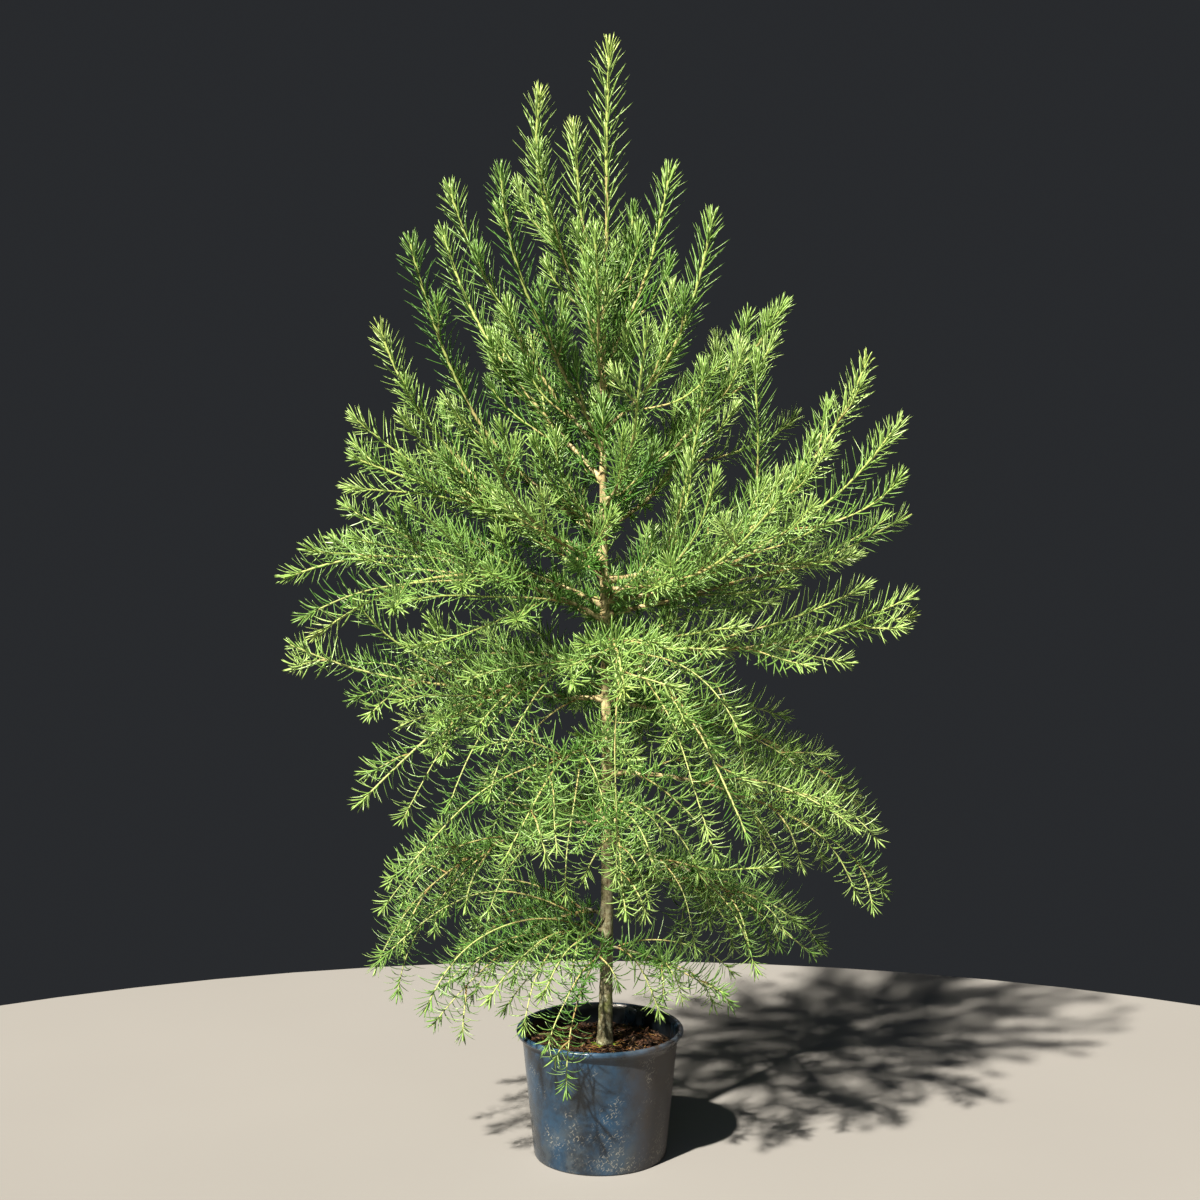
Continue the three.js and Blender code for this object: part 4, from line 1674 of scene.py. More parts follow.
@dataclass(frozen=True)
class ToneRule:
    """Deals out the needles' tones as painted shade: deeper in the crown, low down and to the left, and
    lighter at the top.
    """

    reach: float = 480.0
    heart: float = 3.2
    outside: float = 1.8
    low: float = 0.7
    left: float = 1.1
    vary: float = 0.9
    top_above: float = 1450.0
    top_run: float = 300.0
    low_below: float = 1000.0
    low_run: float = 800.0
    tip_run: Pair = (14.0, 24.0)
    fresh_run: float = 2.2
    softest: int = 1
    plain: int = 3
    deepest: int = 5

    def along(self, stem: Stem, trunk: TrunkLine, rng: Rng, left: Array) -> Array:
        """Deals out the tones along a shoot: soft at its tip and deeper towards its foot.

        Args:
            stem: The shoot.
            trunk: The trunk's line.
            rng: Numbers that vary them.
            left: How far each needle is from the shoot's end.

        Returns:
            The needles' tones.
        """
        body = self.body(stem, trunk, rng)
        tip_run = rng.uniform(*self.tip_run)
        fresh = max(self.softest, body - 1)
        tip = 0 if body < self.plain and stem.order == 0 else fresh
        return np.where(left < tip_run, tip, np.where(left < tip_run * self.fresh_run, fresh, body))

    def body(self, stem: Stem, trunk: TrunkLine, rng: Rng) -> int:
        """Picks the tone of a shoot's body by where its middle is, as painted shade: deeper towards the
        trunk, low down and on the left, and lighter at the top.

        Args:
            stem: The shoot.
            trunk: The trunk's line.
            rng: Numbers that vary it.

        Returns:
            The tone.
        """
        middle = stem.point(0.5)
        x, z = float(middle[0]), float(middle[2])
        out = float(np.linalg.norm((middle - trunk.at(z))[:2]))
        higher = clamp((z - self.top_above) / self.top_run, 0.0, 1.0)
        outer = max(clamp(out / self.reach, 0.0, 1.0), higher)
        lower = clamp((self.low_below - z) / self.low_run, 0.0, 1.0)
        aside = clamp(-x / self.reach, 0.0, 1.0)
        # Painted shade: deeper towards the trunk, low down and on the left side, and lighter at the top of
        # the crown.
        deep = lerp(self.heart, self.outside, outer) + self.low * lower + self.left * aside
        return int(clamp(round(deep + rng.uniform(-self.vary, self.vary)), self.softest, self.deepest))

    def inner(self, stem: Stem, trunk: TrunkLine, rng: Rng) -> int:
        """Returns the tone of the rosettes on a stem, deeper than its shoot's: older needles, and painted
        shade on the wood inside the crown.
        """
        return int(clamp(self.body(stem, trunk, rng) + 1, self.softest + 1, self.deepest))


@dataclass
class NeedleRule:
    """Where needles stand: singly along this season's shoots, and in rosettes on older wood."""

    width: float = 3.0
    growing: float = 80.0
    grown_by: float = 0.7
    lean_by: float = 0.8
    hanging_brush: TipBrush = TipBrush(run=28.0, count=12, lean=26.0, length=23.0)
    rising_brush: TipBrush = TipBrush(run=44.0, count=20, lean=16.0, length=29.0)
    closing: float = 1.35
    rosette: Rosette = Rosette()
    tones: ToneRule = ToneRule()
    bare_share: float = 0.75
    bare_more: float = 5.0
    needled_least: float = 20.0
    foot_length: float = 0.55
    foot_run: float = 40.0
    shorter_below: float = 0.3
    straighter_below: float = 0.7
    least_lean: float = 2.0
    least_distance: float = 2.0
    body_room: float = 4.0
    sunk: float = 0.6
    missing: float = 0.03
    vary_turn: float = 0.2
    vary_lean: float = 6.0
    vary_twist: float = 0.4
    vary_length: Pair = (0.86, 1.06)
    vary_bend: Pair = (0.6, 1.2)
    vary_width: Pair = (0.85, 1.1)

    def habit(self, level: float) -> Habit:
        """Returns how needles stand on a shoot that rises or hangs so far."""
        furthest = HANGING_HABIT if level < 0 else RISING_HABIT
        return LEVEL_HABIT.towards(furthest, min(abs(level) / LIFT_MOST, 1.0))

    def places(self, stem: Stem, habit: Habit, tip: TipBrush, start: float) -> Array:
        """Spaces needles out: evenly along a shoot, and closer and closer in its brush.

        Args:
            stem: The shoot.
            habit: How its needles stand.
            tip: The brush at its tip.
            start: Distance from its foot at which they begin.

        Returns:
            Their distances from its foot.
        """
        body = np.arange(stem.needled_end - self.body_room, start, -habit.pitch)
        brush_run = min(tip.run, stem.length / 2)
        brush = stem.needled_end - brush_run * np.linspace(0.0, 1.0, round(tip.count)) ** self.closing
        return np.concatenate([body, brush])

    def on_shoot(self, stem: Stem, trunk: TrunkLine) -> Needles:
        """Grows the needles along a stem's growth of this season, and the brush at its tip.

        Args:
            stem: The stem.
            trunk: The trunk's line, which tells the crown's heart from its outside.

        Returns:
            The needles.
        """
        rng = np.random.default_rng(stem.seed)
        habit = self.habit(stem.level)
        tip = self.hanging_brush.towards(self.rising_brush, clamp(rising_share(stem.level), 0.0, 1.0))
        end = stem.needled_end
        start = min(stem.seasoned * self.bare_share + self.bare_more, end - self.needled_least)
        distance = self.places(stem, habit, tip, start)
        count = len(distance)
        distance = distance + rng.uniform(-0.5, 0.5, count) * habit.pitch
        distance = np.clip(distance, self.least_distance, end)
        near = np.clip((end - distance) / tip.run, 0.0, 1.0)
        grown = np.clip((end - distance) / self.growing, 0.0, 1.0)
        middle, heading = stem.course(distance)
        turn = np.arange(count) * GOLDEN_TURN + rng.uniform(-self.vary_turn, self.vary_turn, count)
        out = turned(*across_and_over(heading), turn)
        below = np.clip(-out[:, 2], 0.0, 1.0)
        lean = lerp(tip.lean, habit.lean, near**self.lean_by) + rng.normal(0, self.vary_lean, count)
        first = turned(heading, out, np.radians(np.maximum(lean, self.least_lean)))
        begun = np.clip(self.foot_length + (distance - start) / self.foot_run, self.foot_length, 1.0)
        length = lerp(tip.length, habit.length, grown**self.grown_by) * begun
        length = length * (1 - self.shorter_below * below) * rng.uniform(*self.vary_length, count)
        bend = habit.bend * near * rng.uniform(*self.vary_bend, count)
        bend = bend * (1 - self.straighter_below * below)
        side = np.cross(heading, out)
        twist = rng.uniform(-self.vary_twist, self.vary_twist, count)
        grown_needles = Needles(
            foot=middle + out * (stem.radius(distance) * self.sunk)[:, None],
            first=first,
            last=unit(first + UP * bend[:, None]),
            side=unit(turned(side, np.cross(first, side), twist)),
            length=length,
            width=self.width * rng.uniform(*self.vary_width, count),
            tone=self.tones.along(stem, trunk, rng, end - distance),
        )
        return grown_needles.kept(rng.uniform(0, 1, count) > self.missing + habit.thinned * 2 * below * near)

    def rosettes(self, stem: Stem, trunk: TrunkLine) -> Needles | None:
        """Grows the rosettes on a stem's older wood.

        Args:
            stem: The stem.
            trunk: The trunk's line.

        Returns:
            Their needles, or None if there is no room for one.
        """
        rule = self.rosette
        if stem.seasoned < 2 * rule.pitch:
            return None
        places = np.arange(rule.first, min(stem.seasoned, stem.length - rule.tip_room), rule.pitch)
        rng = np.random.default_rng(stem.seed + rule.seed)
        places = places + rng.uniform(-rule.stray, rule.stray, len(places))
        middle, heading = stem.course(places)
        out = turned(*across_and_over(heading), np.arange(len(places)) * GOLDEN_TURN)
        axis = unit(out + heading * rule.turned_on + UP * rule.turned_on)
        root = middle + out * (stem.radius(places) + rule.stand_off)[:, None]
        return self.fans(root, axis, rng, self.tones.inner(stem, trunk, rng))

    def fans(self, root: Array, axis: Array, rng: Rng, tone: int) -> Needles:
        """Grows a rosette of needles about each axis.

        Args:
            root: Where each rosette stands.
            axis: Which way each one looks.
            rng: Numbers that vary them.
            tone: The tone of all of them.

        Returns:
            The needles.
        """
        rule = self.rosette
        total = len(root) * rule.needles
        axis = np.repeat(axis, rule.needles, axis=0)
        lean = np.radians(rule.lean + rule.spread * np.sqrt(rng.uniform(0, 1, total)))
        turn = np.tile(np.arange(rule.needles) * GOLDEN_TURN, len(root))
        turn = turn + rng.uniform(-rule.vary_turn, rule.vary_turn, total)
        out = turned(*across_and_over(axis), turn)
        return Needles(
            foot=np.repeat(root, rule.needles, axis=0),
            first=turned(axis, out, lean),
            last=turned(axis, out, lean * rule.curl),
            side=np.cross(axis, out),
            length=rule.length * rng.uniform(*rule.vary_length, total),
            width=np.full(total, self.width * rule.width),
            tone=np.full(total, tone),
        )


# The pieces


@dataclass
class Pot:
    """A round nursery pot with a rolled lip, a tapering wall and holes in its floor."""

    height: float
    rim_radius: float
    wall_radius: float = 140.0
    base_radius: float = 119.0
    wall: float = 3.0
    floor: float = 4.0
    hollow: float = 1.2
    hollow_radius: float = 40.0
    corner: float = 4.0
    lip_height: float = 11.0
    lip_round: float = 5.0
    oval: float = 0.0016
    oval_turn: float = 0.6
    drains: int = 6
    drain_radius: float = 8.0
    drain_inset: float = 22.0
    drain_sides: int = 24
    drain_cut: Pair = (-6.0, 12.0)
    sides: int = 144
    finish: MouldedPlastic = MouldedPlastic()
    inner_finish: InsideShadePlastic = InsideShadePlastic()

    def outside(self, z: float) -> float:
        """Returns the wall's outer radius at a height."""
        return lerp(self.base_radius, self.wall_radius, z / (self.height - self.lip_height))

    def arc(self, r: float, z: float, radius: float, start: float, stop: float, steps: int = 6) -> list[Pair]:
        """Returns points on an arc of the profile about a centre, from one angle to another."""
        angles = [math.radians(lerp(start, stop, i / steps)) for i in range(steps + 1)]
        return [(r + radius * math.cos(a), z + radius * math.sin(a)) for a in angles]

    def profile(self) -> list[Pair]:
        """Draws the pot's outline from the middle of its underside to the middle of its floor.

        Returns:
            Its points, as a radius and a height each.
        """
        curl = self.lip_round
        lip_foot = self.height - self.lip_height
        lip_middle = self.rim_radius - curl
        inner = self.outside(lip_foot) - self.wall
        foot = self.base_radius - self.corner
        points = [(0.0, self.hollow), (self.hollow_radius, self.hollow)]
        points += [(self.hollow_radius + 2.0, 0.0), (foot - 0.5, 0.0)]
        points += self.arc(foot, self.corner, self.corner, -80, -5)
        points += [(self.outside(z), z) for z in np.linspace(12.0, lip_foot - 20.0, 14)]
        points += [(self.outside(lip_foot - 7.0) + 0.3, lip_foot - 7.0)]
        points += [(self.wall_radius + 0.2, lip_foot + 1.5), (lip_middle, lip_foot + 0.4)]
        points += self.arc(lip_middle, lip_foot + curl, curl, -85, 0)
        points += self.arc(lip_middle, self.height - curl, curl, 5, 90)
        points += self.arc(lip_middle, self.height - curl, curl, 96, 132, 3)
        points += [(inner + 0.9, self.height - 7.5), (inner, lip_foot)]
        points += [(self.outside(z) - self.wall, z) for z in np.linspace(lip_foot - 14.0, 9.0, 12)]
        points += [(self.outside(self.floor) - self.wall - 3.0, self.floor), (0.0, self.floor)]
        return points

    def build(self) -> None:
        """Builds the pot, with its holes cut through the floor."""
        profile = np.array(self.profile())
        r, z = profile[1:-1].T[..., None]
        angles = full_turn(self.sides)
        radii = r * (1 + self.oval * np.cos(2 * angles - self.oval_turn))
        rings = np.stack([radii * np.cos(angles), radii * np.sin(angles), z + 0 * radii], axis=-1)
        walls = (len(r) - 1) * self.sides
        # The inside faces take the darker plastic, painted shade inside the pot.
        inside = np.repeat(r[1:, 0] < self.wall_radius - 1.0, self.sides)
        inside &= np.arange(walls) > walls / 2
        sketch = Sketch()
        sketch.add_tube(rings, UP * profile[[0, -1], 1:], [inside.astype(int), np.repeat([0, 1], self.sides)])
        piece = sketch.build("pot_shell", [self.finish, self.inner_finish])
        self.cut_drains(piece)
        settle(piece, ["pot"])

    def cut_drains(self, piece: bpy.types.Object) -> None:
        """Cuts the drain holes through the floor.

        Args:
            piece: The pot.
        """
        sketch = Sketch()
        radii = np.full(2, self.drain_radius)
        for middle in level_headings(full_turn(self.drains)) * (self.base_radius - self.drain_inset):
            ends = middle + UP * np.array(self.drain_cut)[:, None]
            sketch.add_tube(tube(ends, np.repeat(UP[None], 2, 0), radii, self.drain_sides), ends)
        cutter = sketch.build("drain_cutter", [self.finish])
        cut = piece.modifiers.new("drains", "BOOLEAN")
        cut.operation = "DIFFERENCE"
        cut.solver = "EXACT"
        cut.object = cutter
        bpy.context.view_layer.update()
        evaluated = piece.evaluated_get(bpy.context.evaluated_depsgraph_get())
        piece.data = bpy.data.meshes.new_from_object(evaluated)
        piece.modifiers.clear()
        bpy.data.objects.remove(cutter)


@dataclass(frozen=True)
class ChipShape:
    """A splinter of shredded bark. Each pair holds the least and the most of a half size."""

    long: Pair = (3.5, 12.0)
    flat: Pair = (1.4, 4.0)
    thick: Pair = (0.7, 1.6)
    stubby_to_slim: tuple[float, ...] = (0.7, 1.0, 1.25)
    tilt: float = 0.28
    roll: float = 0.4
    strewn: float = 2.2
    jag: Pair = (0.65, 1.25)
    stations: tuple[float, ...] = (-0.9, -0.35, 0.3, 0.86)
    girth: tuple[float, ...] = (0.55, 1.0, 0.9, 0.45)
    tails: Pair = (-1.05, 1.05)
    sides: int = 5
    tone_shares: tuple[float, ...] = (0.36, 0.34, 0.2, 0.1)


@dataclass(frozen=True)
class MossShape:
    """A low cushion of moss."""

    sizes: Pair = (2.4, 5.0)
    rows: int = 6
    sides: int = 12
    arch: Pair = (-0.5, 1.45)
    bumps: Pair = (0.75, 1.25)
    flat: float = 0.7
    top: float = 0.74

    def draw(self, sketch: Sketch, place: Array, size: float, rng: Rng) -> None:
        """Adds a cushion to a sketch.

        Args:
            sketch: The sketch.
            place: Where it sits.
            size: Its radius.
            rng: Numbers that vary it.
        """
        angles = np.linspace(*self.arch, self.rows)
        radii = size * np.cos(angles)[:, None] * rng.uniform(*self.bumps, (self.rows, self.sides))
        centres = place + UP * (np.sin(angles) * size * self.flat)[:, None]
        rings = tube(centres, np.repeat(UP[None], self.rows, 0), radii, self.sides)
        sketch.add_tube(rings, (place + UP * size * self.top)[None])


@dataclass
class Compost:
    """Compost that fills the pot, with shredded bark, moss and a few shed needles on top."""

    crown: float
    pot: Pot
    trunk: TrunkLine
    edge: float = 199.0
    clearance: float = 0.4
    dish: float = 1.5
    heave: float = 1.9
    heave_length: float = 26.0
    rings: int = 44
    sides: int = 120
    chips: int = 1500
    chip: ChipShape = ChipShape()
    chip_margin: float = 7.0
    chip_seed: int = 41
    shed_needles: int = 260
    shed_margin: float = 16.0
    shed_lengths: Pair = (12.0, 26.0)
    shed_width: float = 1.3
    moss_tufts: int = 15
    moss: MossShape = MossShape()
    moss_ring: Pair = (1.0, 9.0)
    trunk_room: float = 5.0
    litter_seed: int = 43

    def inside(self, z: float) -> float:
        """Returns the radius that the compost has room for at a height."""
        return self.pot.outside(z) - self.pot.wall - self.clearance

    def surface(self, x: Array, y: Array) -> Array:
        """Finds the height of its top.

        Args:
            x: Places from left to right.
            y: Places from front to back.

        Returns:
            The height at each of them.
        """
        out = np.hypot(x, y) / self.inside(self.edge)
        places = zip(x.ravel() / self.heave_length, y.ravel() / self.heave_length)
        heave = [noise.fractal(Vector((a, b, 3.1)), 0.9, 2.1, 4) for a, b in places]
        swell = np.array(heave).reshape(x.shape)
        calm = np.clip((1 - out) * 6, 0.15, 1.0)
        dished = self.crown + (self.edge - self.crown) * np.clip(out, 0, 1) ** self.dish
        return dished + self.heave * swell * calm - 1.0

    def build(self) -> None:
        """Builds the compost and what lies on it."""
        self.build_body()
        self.build_chips()
        self.build_moss_and_litter()

    def build_body(self) -> None:
        """Builds the fill, with an uneven top."""
        top = self.inside(self.edge)
        x, y = circles(top * (np.arange(1, self.rings + 1) / self.rings), self.sides)
        upper = np.stack([x, y, self.surface(x, y)], -1)[::-1]
        floor = self.pot.floor + self.clearance
        circle = level_headings(full_turn(self.sides))
        lows = np.linspace(floor, self.edge - 6.0, 5)
        lower = np.stack([circle * self.inside(low) + UP * low for low in lows])
        middle = float(self.surface(np.zeros(1), np.zeros(1))[0])
        sketch = Sketch()
        sketch.add_tube(np.concatenate([lower, upper]), np.array([UP * floor, UP * middle]))
        settle(sketch.build("compost_fill", [Peat()]), ["compost"])

    def scatter(self, rng: Rng, count: int, margin: float) -> tuple[Array, Array]:
        """Picks places on the surface, clear of the trunk and of the wall.

        Args:
            rng: Numbers that place them.
            count: How many to try.
            margin: Room to leave at the wall.

        Returns:
            The places' x and y.
        """
        reach = (self.inside(self.edge) - margin) * np.sqrt(rng.uniform(0, 1, count))
        bearing = rng.uniform(0, 2 * math.pi, count)
        x, y = reach * np.cos(bearing), reach * np.sin(bearing)
        foot = self.trunk.at(self.trunk.foot)
        clear = np.hypot(x - foot[0], y - foot[1]) > self.trunk_girth + self.trunk_room
        return x[clear], y[clear]

    @property
    def trunk_girth(self) -> float:
        """Radius of the trunk where it leaves the compost."""
        return self.trunk.foot_radius + self.trunk.flare

    def build_chips(self) -> None:
        """Builds the shredded bark: slim uneven splinters and flakes, lying every way."""
        shape = self.chip
        rng = np.random.default_rng(self.chip_seed)
        x, y = self.scatter(rng, self.chips, self.chip_margin)
        z = self.surface(x, y)
        count, sides, stations = len(x), shape.sides, np.array(shape.stations)
        long = rng.uniform(*shape.long, count) * rng.choice(shape.stubby_to_slim, count)
        flat = rng.uniform(*shape.flat, count)
        thick = rng.uniform(*shape.thick, count)
        room = self.inside(self.edge) - np.hypot(x, y)
        long = np.minimum(long, np.maximum(room - 1.0, 2.0))
        bearing, tilt = rng.uniform(0, 2 * math.pi, count), rng.normal(0, shape.tilt, count)
        heading = turned(level_headings(bearing), UP, tilt)
        across = unit(np.cross(heading, UP))
        across = turned(across, np.cross(across, heading), rng.normal(0, shape.roll, count))
        over = np.cross(across, heading)
        centre = np.stack([x, y, z + thick * 0.9 + rng.uniform(0, shape.strewn, count)], -1)[:, None, :]
        girth = np.array(shape.girth)[:, None] * rng.uniform(*shape.jag, (count, len(stations), sides))
        angles = full_turn(sides)
        wide = (flat[:, None, None] * girth * np.cos(angles))[..., None]
        high = (thick[:, None, None] * girth * np.sin(angles))[..., None]
        spine = centre + heading[:, None, :] * (long[:, None] * stations)[..., None]
        body = spine[:, :, None, :] + across[:, None, None, :] * wide + over[:, None, None, :] * high
        tails = centre + heading[:, None, :] * (long[:, None] * np.array(shape.tails))[..., None]
        points = np.concatenate([body.reshape(count, -1, 3), tails], axis=1)
        sketch = Sketch()
        tone = rng.choice(len(ChipTone), count, p=shape.tone_shares)
        sketch.add_copies(points, closed_tube(len(stations), sides, 2), tone)
        settle(sketch.build("bark_chips", [tone.value for tone in ChipTone]))

    def build_moss_and_litter(self) -> None:
        """Builds moss at the trunk's foot, and shed needles here and there."""
        rng = np.random.default_rng(self.litter_seed)
        sketch = Sketch()
        foot = self.trunk.at(self.trunk.foot)
        for i in range(self.moss_tufts):
            bearing = rng.uniform(math.pi * 0.95, math.pi * 2.05) if i % 3 else rng.uniform(0, 2 * math.pi)
            out = self.trunk_girth + rng.uniform(*self.moss_ring)
            place = foot + np.array([out * math.cos(bearing), out * math.sin(bearing), 0])
            size = rng.uniform(*self.moss.sizes)
            place[2] = float(self.surface(place[0:1], place[1:2])[0]) + 0.2 * size
            self.moss.draw(sketch, place, size, rng)
        settle(sketch.build("moss", [LitterTone.MOSS.value]))
        x, y = self.scatter(rng, self.shed_needles, self.shed_margin)
        count = len(x)
        bearing = rng.uniform(0, 2 * math.pi, count)
        first = level_headings(bearing) + UP * rng.normal(0, 0.12, count)[:, None]
        bend = bearing + rng.normal(0, 0.5, count)
        last = level_headings(bend) + UP * rng.normal(-0.05, 0.1, count)[:, None]
        length = rng.uniform(*self.shed_lengths, count)
        feet = np.stack([x, y, self.surface(x, y) + rng.uniform(2.2, 4.4, count)], -1)
        ends = feet + length[:, None] * (first + last) / 2
        inside = np.hypot(ends[:, 0], ends[:, 1]) < self.inside(self.edge) - 4
        side, width = unit(np.cross(UP, first)), np.full(count, self.shed_width)
        shed = Needles(feet, unit(first), unit(last), side, length, width, rng.integers(0, 2, count))
        litter = Sketch()
        NeedleShape().draw(litter, shed.kept(inside))
        settle(litter.build("shed_needles", [LitterTone.STRAW.value, LitterTone.RUSSET.value]))


@dataclass(frozen=True)
class Ripple:
    """One grade of the bark's relief: its width and length, its share of the depth and its shift."""

    width: float
    length: float
    share: float
    shift: float = 0.0

    def at(self, x: float, y: float, z: float) -> float:
        """Returns how far it stands out at a place."""
        place = Vector((x / self.width, y / self.width, z / self.length + self.shift))
        return self.share * noise.noise(place)


@dataclass
class Wood:
    """The trunk and the older wood of the boughs, with the bark's relief."""

    trunk: TrunkLine
    boughs: Sequence[Bough]
    ripples: tuple[Ripple, ...] = (
        Ripple(width=4.6, length=15.0, share=0.75),
        Ripple(width=1.7, length=6.0, share=0.4, shift=40.0),
        Ripple(width=30.0, length=34.0, share=0.7, shift=9.0),
    )
    trunk_pitch: float = 4.0
    trunk_sides: int = 30
    trunk_relief: Pair = (0.07, 0.12)
    foot_lobes: float = 0.9
    foot_run: float = 16.0
    node_swell: float = 1.5
    node_radius: float = 9.0
    limb_pitch: float = 4.5
    limb_sides: int = 10
    limb_relief: Pair = (0.08, 0.06)
    limb_overlap: float = 6.0
    collar: float = 0.75
    collar_from: float = 10.0
    collar_run: float = 7.0
    knuckle: float = 0.06
    knuckle_pitch: float = 14.0

    def build(self) -> None:
        """Builds the wood in one piece."""
        sketch = Sketch()
        self.add_trunk(sketch)
        for bough in self.boughs:
            self.add_limb(sketch, bough.stem)
        nodes = ["trunk"] + [f"bough_{b.owner:02d}" for b in self.boughs if b.row.wood]
        settle(sketch.build("trunk_and_boughs", [LarchBark()]), nodes)

    def relief(self, points: Array, depth: Array) -> Array:
        """Returns how far the bark stands out at points, as furrowed plates."""
        raised = [sum(ripple.at(*point) for ripple in self.ripples) for point in points.reshape(-1, 3)]
        return np.array(raised).reshape(points.shape[:-1]) * depth

    def add_trunk(self, sketch: Sketch) -> None:
        """Adds the trunk, cut flat at the compost and run on into the leader.

        Args:
            sketch: The sketch that it is added to.
        """
        trunk = self.trunk
        count = round((trunk.top - trunk.foot) / self.trunk_pitch)
        z = np.linspace(trunk.foot, trunk.top, count + 1)
        centres = trunk.centre(z)
        heading = unit(np.gradient(centres, axis=0))
        heading[0] = UP
        radii = trunk.radius(z)
        rings = tube(centres, heading, radii, self.trunk_sides)
        by_radius, more = self.trunk_relief
        lobes = 1 + self.foot_lobes * np.exp((trunk.foot - z) / self.foot_run)
        outward = unit(rings - centres[:, None, :])
        raised = self.relief(rings, (by_radius * radii + more)[:, None] * lobes[:, None]) + self.nodes(rings)
        raised[0] = raised[1]
        rings = rings + outward * raised[..., None]
        rings[0, :, 2] = trunk.foot
        sketch.add_tube(rings, centres[[0, -1]])

    def nodes(self, rings: Array) -> Array:
        """Finds how far the trunk swells where boughs leave it.

        Args:
            rings: Points of its skin.

        Returns:
            The swelling at each of them.
        """
        swell = np.zeros(rings.shape[:2])
        for bough in self.boughs:
            out = bough.stem.direction(0.0)
            point = bough.stem.point(0.0) + out * self.trunk.radius(np.array(bough.row.z))
            away = np.linalg.norm(rings - point, axis=-1)
            swell += self.node_swell * np.exp(-((away / self.node_radius) ** 2))
        return swell

    def add_limb(self, sketch: Sketch, stem: Stem) -> None:
        """Adds a bough's older wood, with a collar at the trunk.

        Args:
            sketch: The sketch that it is added to.
            stem: The bough's main shoot.
        """
        end = stem.seasoned + self.limb_overlap
        count = max(6, round(end / self.limb_pitch))
        distance = np.linspace(0.0, end, count + 1)
        centres, heading = stem.course(distance)
        clear = np.maximum(distance - self.collar_from, 0.0)
        radii = stem.radius(distance) * (1 + self.collar * np.exp(-clear / self.collar_run))
        radii = radii * (1 + self.knuckle * np.sin(distance / self.knuckle_pitch * 2 * math.pi))
        rings = tube(centres, heading, radii, self.limb_sides)
        outward = unit(rings - centres[:, None, :])
        by_radius, more = self.limb_relief
        rings = rings + outward * self.relief(rings, (by_radius * radii + more)[:, None])[..., None]
        sketch.add_tube(rings, centres[-1:] + heading[-1:])


@dataclass
class Foliage:
    """The leader, the twigs and the needles, in pieces from the top of the crown down."""

    crown: Crown
    boughs: Sequence[Bough]
    low_corner: Array
    high_corner: Array
    needle_room: float = 6.0
    pot_room: float = 2.0
    most_triangles: int = 185_000
    rule: NeedleRule = field(default_factory=NeedleRule)
    shape: NeedleShape = NeedleShape()
    stem_pitch: float = 12.0
    main_sides: int = 6
    twig_sides: int = 5
    stem_past_needles: float = 6.0
    tip_cone: float = 2.0
    tip_girth: float = 0.7
    foot_share: float = 0.16
    straw_share: float = 0.4
    straw_from: float = 0.4

    def build(self) -> None:
        """Builds the pieces, each of which stands for the masses of its own boughs."""
        masses = [("leader_foliage", [self.crown.leader()])]
        masses += [(f"foliage_{b.owner:02d}", [b.stem, *b.twigs]) for b in self.boughs]
        nodes: list[str] = []
        stems: list[Stem] = []
        needles: list[Needles] = []
        part, total = 1, 0
        for node, grown in masses:
            fresh = self.needles_of(grown)
            size = sum(len(n) for n in needles) + len(fresh)
            if nodes and size * self.shape.triangles > self.most_triangles:
                total += self.build_part(part, nodes, stems, needles)
                part, nodes, stems, needles = part + 1, [], [], []
            nodes.append(node)
            stems += grown
            needles.append(fresh)
        total += self.build_part(part, nodes, stems, needles)
        LOG.info("%d needles in all", total)

    def needles_of(self, stems: Sequence[Stem]) -> Needles:
        """Grows the needles of some stems.

        Args:
            stems: The stems.

        Returns:
            Those of their needles that stay in the crown's own space.
        """
        trunk = self.crown.trunk
        groups = [self.rule.on_shoot(stem, trunk) for stem in stems]
        groups += [r for stem in stems if (r := self.rule.rosettes(stem, trunk)) is not None]
        needles = Needles.joined(groups)
        tips = needles.tips()
        low, high = self.low_corner - self.needle_room, self.high_corner + self.needle_room
        inside = np.all((tips > low) & (tips < high), axis=1)
        beside = np.hypot(tips[:, 0], tips[:, 1]) > self.crown.pot_radius + self.pot_room
        over = tips[:, 2] > self.crown.pot_height + self.pot_room
        return needles.kept(inside & (beside | over))

    def build_part(
        self, part: int, nodes: Sequence[str], stems: Sequence[Stem], needles: Sequence[Needles]
    ) -> int:
        """Builds one piece of twigs and one of needles.

        Args:
            part: Number of the piece, from the top of the crown.
            nodes: The masses that they stand for.
            stems: The stems.
            needles: The needles.

        Returns:
            How many needles there are.
        """
        twigs = Sketch()
        for stem in stems:
            self.add_stem(twigs, stem)
        settle(twigs.build(f"twigs_{part}", [tone.value for tone in TwigTone]), nodes)
        blades = Sketch()
        joined = Needles.joined(needles)
        self.shape.draw(blades, joined)
        settle(blades.build(f"needles_{part}", [tone.value for tone in NeedleTone]), nodes)
        return len(joined)

    def add_stem(self, sketch: Sketch, stem: Stem) -> None:
        """Adds a stem's tube, tawny at its foot and green at its tip.

        Args:
            sketch: The sketch that it is added to.
            stem: The stem.
        """
        main = stem.order == 0
        sides = self.main_sides if main else self.twig_sides
        start = stem.seasoned if main else 0.0
        end = stem.needled_end + self.stem_past_needles
        count = max(3, round((end - start) / self.stem_pitch))
        distance = np.linspace(start, end, count + 1)
        centres, heading = stem.course(distance)
        radii = stem.radius(distance)
        radii[-1] *= self.tip_girth
        share = np.arange(count) / count
        tawny, straw, green, pale = range(len(TwigTone))
        foot = tawny if stem.level < self.straw_from else straw
        young = green if stem.level > 0.0 else pale
        tone = np.where(share < self.foot_share, foot, np.where(share < self.straw_share, straw, young))
        rings = tube(centres, heading, radii, sides)
        slots = [np.repeat(tone, sides), np.full(sides, young)]
        sketch.add_tube(rings, centres[-1:] + heading[-1:] * self.tip_cone, slots)


